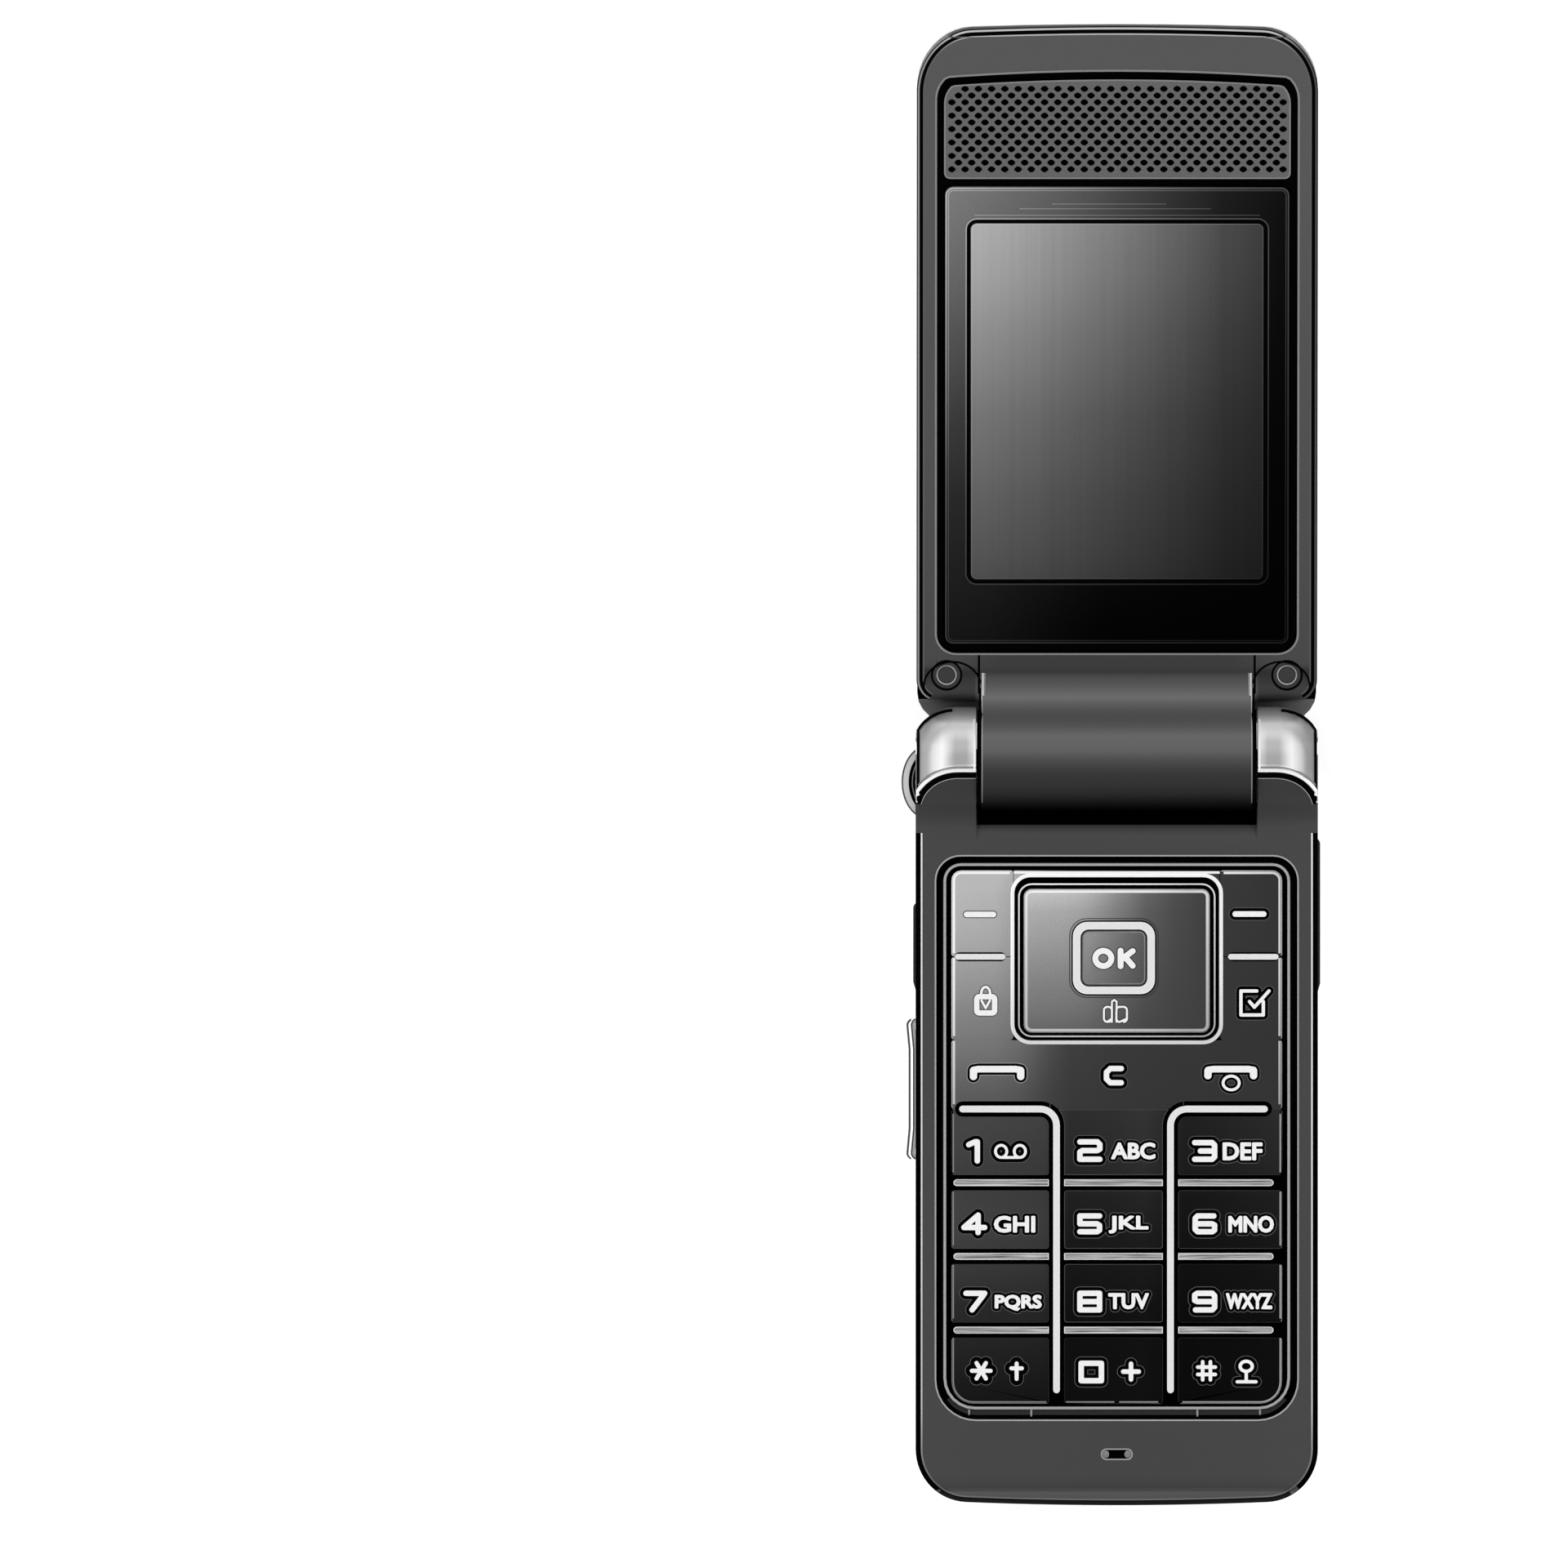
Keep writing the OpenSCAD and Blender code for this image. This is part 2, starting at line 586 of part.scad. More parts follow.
module dome_sheet() color("khaki") on_base() along_z(sheet_z[0], sheet_z[1])
    polygon(rounded(-20.1, 20.1, 13, 77, 1, 3));

module main_circuit_board() color("darkgreen") on_base() {
    difference() {
        block([-22, 22], [3.5, 80.8], board_z);
        block([20.2, 30], [65.9, 79.1], [5, 7]);
        block([-30, -7.6], [64.0, 73.5], [5, 7]);
        both_sides() translate([low_screws[0], low_screws[1], 5]) cylinder(h = 2, r = 2.2, $fn = 32);
        translate([0, 6.3, 5]) cylinder(h = 2, r = 2.3, $fn = 32);
    }
    block([-14, 14], [28, 58], [split_z + 0.05, board_z[0] + eps]);
}

module battery() color("slategray") on_base()
    along_z(cover_t + 0.15, floor_z - 0.05) polygon(rounded(-17.2, 17.2, 22.9, 66.1, 1.5));

module sim_holder() color("goldenrod") on_base() difference() {
    block([-16.2, -0.4], [68.6, 82.9], [2.2, floor_z]);
    block([-15.4, -1.2], [68, 81.8], [2.8, 3.4]);
}

module loudspeaker() color("darkslategray") on_base()
    along_z(cover_t + 0.35, floor_z) polygon(rounded(1.9, 16.1, 68.8, 82.6, 3));

module microphone() color("goldenrod") on_base()
    translate([0, 6.3, 5.5]) cylinder(h = top_plate_z - 5.5, r = 2, $fn = 32);

module io_connector() color("silver") on_base() difference() {
    block([20.5, 23.2], [66.5, 78.5], [split_z + 0.1, 6.95]);
    block([21.2, 24], [67.2, 77.8], [5.1, 6.5]);
}

module card_socket() color("silver") on_base() difference() {
    block([-23.1, -8.0], [64.4, 73.1], [split_z + 0.1, 6.0]);
    block([-24, -9.5], [65.0, 72.5], [4.95, 5.75]);
}

module screw(head_r, head_h, r, h) {
    cylinder(h = head_h, r = head_r, $fn = 24);
    cylinder(h = h, r = r, $fn = 24);
}

module base_screws() color("lightsteelblue") on_base() both_sides() {
    translate([low_screws[0], low_screws[1], 2.62]) screw(1.6, 0.88, 0.8, 4.3);
    translate([high_screws[0], high_screws[1], 0.95]) screw(1.6, 0.95, 0.8, 5.6);
}

// ---------------------------------------------------------------- side keys and covers

module volume_key() color("silver") on_base() mirror([1, 0, 0]) intersection() {
    along_z(volume_z[0], volume_z[1]) polygon(concat([[half_w - 1.3, volume_y[1]], [half_w - 1.3, volume_y[0]]],
        arc(half_w, volume_y[0] + 1.2, 1.3, 1.2, -90, 0, 5),
        arc(half_w, volume_y[1] - 1.2, 1.3, 1.2, 0, 90, 5)));
    along_y(volume_y[0] - 1, volume_y[1] + 1) polygon(rounded(half_w - 1.4, half_w + 1.35,
        volume_z[0], volume_z[1], 0.7, 3));
}

// Rubber cover that swings out about its lower end
module flap(y) {
    knuckle = 0.55;
    along_z(flap_z[0], flap_z[1]) polygon(concat(
        arc(half_w - 0.4, y[0] + knuckle, knuckle, knuckle, 180, 315, 6),
        [[half_w + 0.3, y[0] + 1.2]], arc(half_w - 0.4, y[1] - 0.7, 0.7, 0.7, 0, 90, 4),
        [[half_w - 0.95, y[1]]]));
}

module port_cover() color("dimgray") on_base() flap(port_y);
module card_cover() color("dimgray") on_base() mirror([1, 0, 0]) flap(card_y);

// ---------------------------------------------------------------- lid

// Depth of the outer face: an elliptic fall over the last stretch before the tip
function outer_depth(y) = let (d = max(0, y - (lid_len - tip_len)) / tip_len)
    lid_out - tip_drop * (1 - sqrt(max(0, 1 - d * d)));
tip_steps = [for (i = [0:10]) lid_len - tip_len * pow(1 - i / 10, 2)];

// Side outline between the outer face, sunk by a given amount, and a given depth
module lid_side(depth, sink = 0, y0 = 0) polygon(concat(
    [[y0, -depth], [y0, sink - lid_out]], [for (y = tip_steps) [y, sink - outer_depth(y)]],
    [[lid_len, -depth]]));

// Plan of the lid: large corners and a bowed edge at the tip, small corners at the hinge end
module lid_plan(inset = 0, low = 2.2, low_r = 3.6) {
    hw = lid_w / 2 - inset;
    corner_y = lid_len - tip_corner[1] - tip_fall;
    polygon(concat(arc(hw - low_r, low + low_r, low_r, low_r, -90, 0, 6),
        arc(lid_w / 2 - tip_corner[0], corner_y, tip_corner[0] - inset, tip_corner[1] - inset, 0, 88, 10),
        arc(0, lid_len - tip_bow, tip_bow - inset, tip_bow - inset, 88, 92, 6),
        arc(tip_corner[0] - lid_w / 2, corner_y, tip_corner[0] - inset, tip_corner[1] - inset, 92, 180, 10),
        arc(low_r - hw, low + low_r, low_r, low_r, 180, 270, 6)));
}

// Room that the ears take beside the barrel, in the lid's side outline
module ear_room() both_sides() along_x(barrel_x, 30) polygon([[-20, 20], [lobe_y, 20], [lobe_y, -lid_mid - 0.2],
    [2.4, -lid_out - 0.2], [2.4, -20], [-20, -20]]);

// Cross-section of the outer cover with its rounded long edges
module cover_section() polygon(concat([[-lid_w / 2, -lid_mid]],
    arc(4.2 - lid_w / 2, -5.3, 4.2, 2.3, 180, 270, 6), arc(lid_w / 2 - 4.2, -5.3, 4.2, 2.3, 270, 360, 6),
    [[lid_w / 2, -lid_mid]]));

module panel_plan(grow = 0) difference() {
    intersection() {
        polygon(rounded(-panel_x - grow, panel_x + grow, panel_y[0] - grow, panel_y[1] + grow, 3 + grow));
        polygon(concat(arc(0, panel_y[1] - 220, 220 + grow, 220 + grow, 84, 96, 10), [[-40, -20], [40, -20]]));
    }
    polygon(rounded(grow - camera_x - 0.9, camera_x + 0.9 - grow, -20, camera_y + camera_x + 0.75 - grow, 2.6));
}

module lid_outer_cover() color("silver") on_lid() difference() {
    intersection() {
        lid_layer(lid_mid, lid_out) lid_plan(0.1, 2.4, 5.2);
        along_x(-lid_w / 2, lid_w / 2) lid_side(lid_mid);
        along_y(0, lid_len) cover_section();
    }
    intersection() {
        lid_layer(lid_mid - 1, 6.1) lid_plan(1.4, 12, 3);
        along_x(-30, 30) lid_side(0, 1.5);
    }
    intersection() {
        lid_layer(5, 9) panel_plan(trim_w + 0.05);
        along_x(-30, 30) difference() {
            translate([0, -20]) square([100, 20]);
            lid_side(0, 0.65, -1);
        }
    }
    rod(-30, 30, 0, 0, barrel_r + 0.05);
    ear_room();
    camera_room();
    both_sides() translate([lid_screw[0], lid_screw[1], -6]) cylinder(h = 3, r = 0.7, $fn = 24);
}

module camera_room() {
    block([-4.3, 4.3], [camera_y - 4.3, camera_y + 4.3], [-9, -2.4]);
    lid_layer(6.05, 9) polygon(rounded(-camera_x - 0.1, camera_x + 0.1,
        camera_y - camera_x + 0.1, camera_y + camera_x - 0.1, 2.6));
}

// A skin that follows the outer face between two sinks
module outer_skin(sink0, sink1) intersection() {
    lid_layer(3, 9) children();
    along_x(-30, 30) difference() {
        translate([0, 0]) lid_side(3, sink0);
        translate([0, 0]) lid_side(0, sink1, -1);
    }
}

module lid_front_panel() color("lightgray") on_lid() outer_skin(0.05, 0.6) panel_plan();

module lid_panel_trim() color("whitesmoke") on_lid() outer_skin(-0.1, 0.6) difference() {
    panel_plan(trim_w);
    panel_plan(0.08);
    translate([-30, -5]) square([60, 5 + panel_y[0] - 0.6]);
    translate([-camera_x - 1, -5]) square([2 * camera_x + 2, 20]);
}

// Half-round skin of the hinge barrel with the flat lip towards the outer cover
plate_d = 7.35;
plate_a = atan2(plate_d, 0.5) + acos(barrel_r / norm([0.5, plate_d]));
module barrel_outline() {
    circle(barrel_r, $fn = 96);
    polygon([[0, 0], [barrel_r * cos(plate_a), -barrel_r * sin(plate_a)], [0.5, -plate_d],
        [1.8, -plate_d], [1.8, 0]]);
}

module hinge_cover_plate() color("dimgray") on_lid() difference() {
    along_x(-barrel_x, barrel_x) difference() {
        barrel_outline();
        circle(barrel_r - 0.7, $fn = 96);
        translate([1.8, -20]) square([20, 40]);
        translate([-20, 0.5]) square([40, 20]);
    }
    camera_room();
}

module lid_inner_cover() color("dimgray") on_lid() difference() {
    union() {
        difference() {
            lid_layer(lid_in, lid_mid) lid_plan(0, lobe_y, 3);
            along_x(-30, 30) polygon([[lid_len - 10, 1], [lid_len - 10, -lid_in], [lid_len - 1.2, -lid_in - 0.35],
                [lid_len + 0.1, -lid_in - 1.2], [lid_len + 0.1, 1]]);
        }
        along_x(-barrel_x, barrel_x) polygon(concat([[14, -lid_in], [9.4, -lid_in]],
            arc(9.4, -lid_in + 3.2, 3.2, 3.2, 270, 225, 4), [[6.5, 0.9], [6.0, 1.9], [0, 1.9], [0, -lid_mid],
            [14, -lid_mid]]));
        along_x(-barrel_x, barrel_x) difference() {
            circle(barrel_r, $fn = 96);
            intersection() {
                difference() {
                    circle(barrel_r + 1);
                    circle(barrel_r - 0.75, $fn = 96);
                }
                translate([-20, -20]) square([21.85, 20.55]);
            }
        }
    }
    both_sides() along_x(barrel_x + eps, 30) difference() {
        translate([lobe_y - 1.2, -lid_in - lobe_round]) square([lobe_round + 1.2, 3]);
        translate([lobe_y + lobe_round, -lid_in - lobe_round]) circle(lobe_round, $fn = 32);
    }
    lid_layer(0, 1.55) recess_plan();
    lid_layer(0, 2.15) polygon(rounded(-window_x - 0.1, window_x + 0.1, window_y[0] - 0.1, window_y[1] + 0.1, 1.1));
    block([-19.7, 19.7], [lcd_y[0] - 0.2, lcd_y[1] + 0.2], [-5, 0]);
    lid_layer(0, 1.85) grille_plan(0.1);
    block([-7.7, 7.7], [speaker_y[0] - 0.2, speaker_y[1] + 0.2], [-5, 0]);
    both_sides() translate([lid_screw[0], lid_screw[1], -1.6]) cylinder(h = 3, r = 1.7, $fn = 32);
    both_sides() translate([lid_screw[0], lid_screw[1], -2.4]) cylinder(h = 3, r = 1.3, $fn = 32);
    both_sides() translate([lid_screw[0], lid_screw[1], -5]) cylinder(h = 5, r = 0.8, $fn = 24);
    block([-4.3, 4.3], [camera_y - 4.3, camera_y + 4.3], [-9, -2.4]);
    rod(5.5, barrel_x + 1, 0, 0, 3.0);
    rod(-barrel_x - 1, -8.5, 0, 0, pin_r + pin_play);
    block([-12.1, -5.9], [9, lcd_y[0] + 1], [-2.75, -2.35]);
}

module recess_plan() intersection() {
    polygon(two_radii(-recess_x, recess_x, recess_y[0], recess_y[1], recess_r[0], recess_r[1]));
    polygon(concat(arc(0, recess_y[1] - recess_bow, recess_bow, recess_bow, 84, 96, 12), [[-30, -20], [30, -20]]));
}

module grille_plan(grow) intersection() {
    polygon(two_radii(-grille_x - grow, grille_x + grow, grille_y[0] - grow, grille_y[1] + grow,
        0.8 + grow, 3 + grow));
    polygon(concat(arc(0, grille_y[1] - recess_bow, recess_bow + grow, recess_bow + grow, 84, 96, 12),
        [[-30, -20], [30, -20]]));
}

module display_window() color("black") on_lid()
    lid_layer(1.15, 2.1) polygon(rounded(-window_x, window_x, window_y[0], window_y[1], 1.0));

module lcd_module() color("dimgray") on_lid() block([-19.5, 19.5], lcd_y, [-4.6, -2.2]);

module display_flex() color("darkorange") on_lid() block([-12, -6], [9.2, lcd_y[0] - 0.1],
    [-2.7, -2.4]);

module earpiece_grille() color("gray") on_lid() difference() {
    lid_layer(1.15, 1.8) grille_plan(0);
    for (i = [-2:2]) translate([0, (grille_y[0] + grille_y[1]) / 2 + 2 * i, -3])
        linear_extrude(3) polygon(rounded(-18, 18, -0.3, 0.3, 0.25, 3));
}

module earpiece_speaker() color("darkslategray") on_lid()
    lid_layer(2.0, 4.9) polygon(rounded(-7.5, 7.5, speaker_y[0], speaker_y[1], 2));

module lid_screw_caps() color("silver") on_lid() both_sides()
    translate([lid_screw[0], lid_screw[1], -1.6]) cylinder(h = 0.45, r = 1.27, $fn = 32);

module lid_screws() color("lightsteelblue") on_lid() both_sides()
    translate([lid_screw[0], lid_screw[1], -1.65]) mirror([0, 0, 1]) screw(1.25, 0.7, 0.7, 4.2);

module camera_bezel() color("whitesmoke") on_lid() lid_layer(6.1, camera_out) difference() {
    polygon(rounded(-camera_x, camera_x, camera_y - camera_x + 0.2, camera_y + camera_x - 0.2, 2.6));
    polygon(rounded(-4.25, 4.25, camera_y - 4.05, camera_y + 4.05, 1.6));
}

module camera_lens_ring() color("silver") on_lid() translate([0, camera_y, -camera_out + 0.1]) {
    difference() {
        cylinder(h = 0.75, r = 3.2, $fn = 48);
        translate([0, 0, -1]) cylinder(h = 3, r = 2.5, $fn = 48);
    }
    translate([0, 0, 0.2]) difference() {
        cylinder(h = 0.55, r = 1.75, $fn = 48);
        translate([0, 0, -1]) cylinder(h = 3, r = 1.1, $fn = 48);
    }
}

module camera_window() color("black") on_lid()
    lid_layer(6.5, 6.98) polygon(rounded(-4.2, 4.2, camera_y - 4, camera_y + 4, 1.5));

module camera_module() color("darkslategray") on_lid() {
    block([-3.6, 3.6], [camera_y - 3.6, camera_y + 3.6], [-6.45, -2.5]);
}

module hinge_cartridge() color("steelblue") on_lid() difference() {
    rod(5.6, barrel_x - 0.1, 0, 0, 2.95);
    rod(8, barrel_x + 1, 0, 0, pin_r + pin_play);
}

base_front_case();
base_rear_case();
left_hinge_ear();
right_hinge_ear();
side_trims();
keypad_frame();
dome_sheet();
main_circuit_board();
battery();
sim_holder();
loudspeaker();
microphone();
io_connector();
card_socket();
lanyard_loop();
base_screws();
hinge_pins();
lid_outer_cover();
lid_front_panel();
lid_panel_trim();
lid_inner_cover();
display_window();
lcd_module();
earpiece_grille();
earpiece_speaker();
lid_screw_caps();
lid_screws();
camera_module();
camera_bezel();
camera_lens_ring();
camera_window();
hinge_cover_plate();
hinge_cartridge();
display_flex();
key_1();
key_2();
key_3();
key_4();
key_5();
key_6();
key_7();
key_8();
key_9();
key_star();
key_0();
key_hash();
left_soft_key();
right_soft_key();
left_shortcut_key();
right_shortcut_key();
send_key();
clear_key();
end_key();
nav_pivot();
nav_key();
ok_key();
volume_key();
port_cover();
card_cover();
battery_cover();
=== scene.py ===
"""Flip phone, open, lying on its back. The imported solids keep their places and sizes: this script
gives them bevelled copies, fine detail, printed marks and materials.

Base pieces use BASE: x across, y up from the bottom edge, z from the back, all in millimetres.
Lid pieces use LID: x across, y from the hinge axis to the tip, z up from the screen side.
Pieces on the lid's outer side use OUTSIDE, which is LID turned over, so z is the depth."""

import json
import math
from functools import reduce

import bmesh
import bpy
import numpy as np
from mathutils import Matrix, Vector
from mathutils.geometry import tessellate_polygon

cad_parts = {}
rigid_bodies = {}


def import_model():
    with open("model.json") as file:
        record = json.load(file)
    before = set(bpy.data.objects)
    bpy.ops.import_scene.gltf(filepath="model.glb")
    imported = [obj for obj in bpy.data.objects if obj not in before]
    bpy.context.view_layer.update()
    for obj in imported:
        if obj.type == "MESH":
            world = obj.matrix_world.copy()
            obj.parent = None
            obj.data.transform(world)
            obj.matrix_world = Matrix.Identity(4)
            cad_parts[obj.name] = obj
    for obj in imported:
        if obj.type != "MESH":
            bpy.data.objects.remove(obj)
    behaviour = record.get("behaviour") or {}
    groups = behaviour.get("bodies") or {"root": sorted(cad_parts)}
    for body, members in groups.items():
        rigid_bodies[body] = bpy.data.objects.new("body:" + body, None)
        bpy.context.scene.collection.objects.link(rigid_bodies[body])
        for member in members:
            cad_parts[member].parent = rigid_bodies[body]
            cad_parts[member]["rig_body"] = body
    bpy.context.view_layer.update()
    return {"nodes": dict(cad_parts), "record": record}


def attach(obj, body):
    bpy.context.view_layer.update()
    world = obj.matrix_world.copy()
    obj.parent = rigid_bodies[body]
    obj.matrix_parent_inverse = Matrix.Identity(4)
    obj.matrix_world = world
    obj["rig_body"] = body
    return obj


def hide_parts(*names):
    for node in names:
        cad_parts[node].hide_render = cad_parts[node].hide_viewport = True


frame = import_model()
NODES = frame["nodes"]

MM = 0.001
BASE_LENGTH = 98.1
HALF_W = 24.7
AXIS_Y = 91.7
AXIS_Z = 8.2
LID_LENGTH = 91.7
LID_HALF_W = 24.6
SCREEN_Z = -1.05
WINDOW_Z = -1.15
FACE_Z = 9.0
KEY_Z = 8.7
EAR_X = 17.3
EAR_Y = 91.6
EAR_Z = 7.8
EAR_R = 6.5
BARREL_X = 16.65
BARREL_R = 6.3
TILT = math.radians(13.2)

BASE = Matrix.Translation((0, -BASE_LENGTH / 2 * MM, 0))
LID = Matrix.Translation((0, (AXIS_Y - BASE_LENGTH / 2) * MM, AXIS_Z * MM)) @ Matrix.Rotation(TILT, 4, "X")
OUTSIDE = LID @ Matrix.Rotation(math.pi, 4, "Y")


def row_y(yb):
    """Row coordinate in metres of a height above the base's bottom edge in millimetres."""
    return (yb - BASE_LENGTH / 2) * MM


# ------------------------------------------------------------------ materials


def grey(v):
    """Linear grey for a display value between 0 and 255."""
    c = (v / 255.0) ** 2.2
    return (c, c, c, 1)


def map_range(nt, source, **ends):
    """Value carried from one range to another; the ends that aren't given stay at 0 and 1."""
    span = nt.nodes.new("ShaderNodeMapRange")
    for name, value in ends.items():
        span.inputs[name.replace("_", " ").title()].default_value = value
    nt.links.new(source, span.inputs["Value"])
    return span.outputs["Result"]


def fade(nt, coord, direction, low, high, stops):
    """Factor that follows a line of stops along a direction of the object."""
    dot = nt.nodes.new("ShaderNodeVectorMath")
    dot.operation = "DOT_PRODUCT"
    dot.inputs[1].default_value = direction
    nt.links.new(coord, dot.inputs[0])
    place = map_range(nt, dot.outputs["Value"], from_min=low, from_max=high)
    ramp = nt.nodes.new("ShaderNodeValToRGB")
    elements = ramp.color_ramp.elements
    while len(elements) < len(stops):
        elements.new(0.5)
    for element, (at, value) in zip(elements, stops):
        element.position = at
        element.color = (value, value, value, 1)
    nt.links.new(place, ramp.inputs["Fac"])
    return ramp.outputs["Color"]


def spot(nt, coord, x0, x1, y0, y1, soft_x, soft_y, value):
    """Factor that is one outside a soft-edged rectangle and a given value inside it."""
    sides = []
    spans = ((ACROSS, x0 * MM, x1 * MM, soft_x * MM), (UPWARD, row_y(y0), row_y(y1), soft_y * MM))
    for direction, low, high, margin in spans:
        edge = 2 * margin / (high - low + 2 * margin)
        stops = ((0.0, 0.0), (edge, 1.0), (1.0 - edge, 1.0), (1.0, 0.0))
        sides.append(fade(nt, coord, direction, low - margin, high + margin, stops))
    return map_range(nt, product(nt, *sides), to_min=1.0, to_max=value)


def product(nt, a, b):
    """Product of two sockets."""
    node = nt.nodes.new("ShaderNodeMath")
    node.operation = "MULTIPLY"
    nt.links.new(a, node.inputs[0])
    nt.links.new(b, node.inputs[1])
    return node.outputs["Value"]


def blend(nt, factor, a, b):
    """Colour between a and b; each is a colour or a socket."""
    mix = nt.nodes.new("ShaderNodeMix")
    mix.data_type = "RGBA"
    nt.links.new(factor, mix.inputs["Factor"])
    for name, value in (("A", a), ("B", b)):
        socket = [s for s in mix.inputs if s.name == name and s.type == "RGBA"][0]
        if isinstance(value, tuple):
            socket.default_value = value
        else:
            nt.links.new(value, socket)
    return [s for s in mix.outputs if s.type == "RGBA"][0]


def material(
    name,
    dark,
    light,
    metal=0.0,
    rough=0.4,
    rough_var=0.05,
    grain=(6000, 6000, 6000),
    detail=3.0,
    bump=0.02,
    coat=0.0,
    spec=0.5,
    fades=(),
    spots=(),
    spread=0.08,
    turn=0.0,
):
    """Principled surface with a fine grain in colour, gloss and height. The dark and light ends
    are display greys or linear colours. Without fades the colour runs between them with the grain.
    With fades it follows their product instead, and each spot changes that in a soft rectangle. In this
    script the fades and spots are painted light and shade: gradients and patches that stand for where the
    light falls brighter or dimmer."""
    dark, light = (end if isinstance(end, tuple) else grey(end) for end in (dark, light))
    m = bpy.data.materials.new(name)
    m.use_nodes = True
    nt = m.node_tree
    b = nt.nodes["Principled BSDF"]
    b.inputs["Metallic"].default_value = metal
    b.inputs["Coat Weight"].default_value = coat
    b.inputs["Coat Roughness"].default_value = 0.06
    b.inputs["Specular IOR Level"].default_value = spec
    coord = nt.nodes.new("ShaderNodeTexCoord").outputs["Object"]
    mapping = nt.nodes.new("ShaderNodeMapping")
    mapping.vector_type = "TEXTURE"
    mapping.inputs["Rotation"].default_value = (turn, 0, 0)
    mapping.inputs["Scale"].default_value = tuple(1 / g for g in grain)
    nt.links.new(coord, mapping.inputs["Vector"])
    noise = nt.nodes.new("ShaderNodeTexNoise")
    noise.inputs["Scale"].default_value = 1.0
    noise.inputs["Detail"].default_value = detail
    nt.links.new(mapping.outputs["Vector"], noise.inputs["Vector"])
    low, high = (1 - spread, 1 + spread) if fades else (0.0, 1.0)
    grained = map_range(nt, noise.outputs["Fac"], from_min=0.3, from_max=0.7, to_min=low, to_max=high)
    factors = [fade(nt, coord, *f) for f in fades] + [spot(nt, coord, *patch) for patch in spots]
    factor = reduce(lambda x, y: product(nt, x, y), factors + [grained])
    colour = blend(nt, factor, dark, light)
    nt.links.new(colour, b.inputs["Base Color"])
    low = max(0.02, rough - rough_var)
    gloss = map_range(nt, noise.outputs["Fac"], to_min=low, to_max=rough + rough_var)
    nt.links.new(gloss, b.inputs["Roughness"])
    if bump:
        height = nt.nodes.new("ShaderNodeBump")
        height.inputs["Strength"].default_value = bump
        height.inputs["Distance"].default_value = 0.0001
        nt.links.new(noise.outputs["Fac"], height.inputs["Height"])
        nt.links.new(height.outputs["Normal"], b.inputs["Normal"])
    return m


ACROSS = (1, 0, 0)
UPWARD = (0, 1, 0)
FADE_HALF = 25


def across(*stops):
    """Fade across the phone; stops are pairs of x in millimetres and a factor."""
    places = [((x + FADE_HALF) / (2 * FADE_HALF), v) for x, v in stops]
    return (ACROSS, -FADE_HALF * MM, FADE_HALF * MM, places)


def upward(low, high, *stops):
    """Fade along the phone; stops are pairs of a height above the bottom edge and a factor."""
    return (UPWARD, row_y(low), row_y(high), [((y - low) / (high - low), v) for y, v in stops])


def line_material(name, value, *fades):
    """Light line that paints a highlight along an edge; its brightness changes along the phone as painted
    light.
    """
    return material(name, 3, value, metal=0.2, rough=0.35, spec=0.2, bump=0.0, spread=0.03, fades=fades)


# Painted light and shade on the dark case: darker over the chin's slope and at the shoulders, a painted
# highlight band at 82.3 mm, and a little lighter towards both sides.
CASE_RISE = (
    (0, 0.22), (0.9, 0.28), (1.6, 0.4), (2.6, 0.9), (4, 1.0), (80, 1.05),
    (82.3, 1.2), (83.2, 1.05), (84.6, 0.44), (88, 0.36), (92, 0.33),
)
DARK = material(
    "dark_case", 0, 66,
    rough=0.42, spec=0.25, bump=0.03, spread=0.03,
    fades=(across((-25, 1.0), (-17, 0.95), (0, 0.92), (17, 0.94), (23, 1.04)), upward(0, 92, *CASE_RISE)),
)
SILVER = material("silver_shell", 205, 222, metal=0.88, rough=0.3, bump=0.015)
CHROME = material("chrome", 240, 250, metal=0.85, rough=0.16, rough_var=0.03, bump=0.0)
BAR = material("white_bar", 232, 242, metal=0.25, rough=0.3, bump=0.0)
# Painted highlight grey, used for the bright highlights at the top of the neck.
EDGE = material("bright_edge", 190, 205, metal=0.4, rough=0.3, bump=0.0)
# The soft and light line greys mostly paint highlights along edges and steps; the light one also rims the
# send key's print.
SOFT_LINE = material("soft_line", 118, 132, metal=0.3, rough=0.4, bump=0.0)
LINE = material("light_line", 158, 172, metal=0.4, rough=0.35, bump=0.0)
# Dim grey for faint lines painted as light and shade along edges: dark on the chrome volume key, the strap
# bar and the lid's corner tabs, light round the dark key tops.
DIM = material("dim_line", 70, 80, metal=0.3, rough=0.4, bump=0.0)
# Black is the colour of the real black parts, and elsewhere it is painted shade: sheets and lines put in
# gaps, slots and recesses where shade falls.
BLACK = material("black_gap", 1, 4, rough=0.6, spec=0.02, bump=0.0)
LEDGE = material("recess_ledge", 48, 56, rough=0.5, spec=0.15, bump=0.02)
GRAIN_ALONG = (6500, 160, 6500)
GRAIN_ACROSS = (220, 9000, 9000)
GRAIN_BARS = (160, 7000, 7000)
PANEL = material("brushed_panel", 178, 214, 0.5, 0.34, grain=GRAIN_ALONG, bump=0.12, turn=TILT)
DARK_BRUSHED = material("dark_brushed", 30, 58, 0.7, 0.34, grain=GRAIN_ACROSS, bump=0.08)
ROW_BAR = material("brushed_bar", 70, 225, 0.5, 0.34, grain=GRAIN_BARS, detail=2.0, bump=0.1)
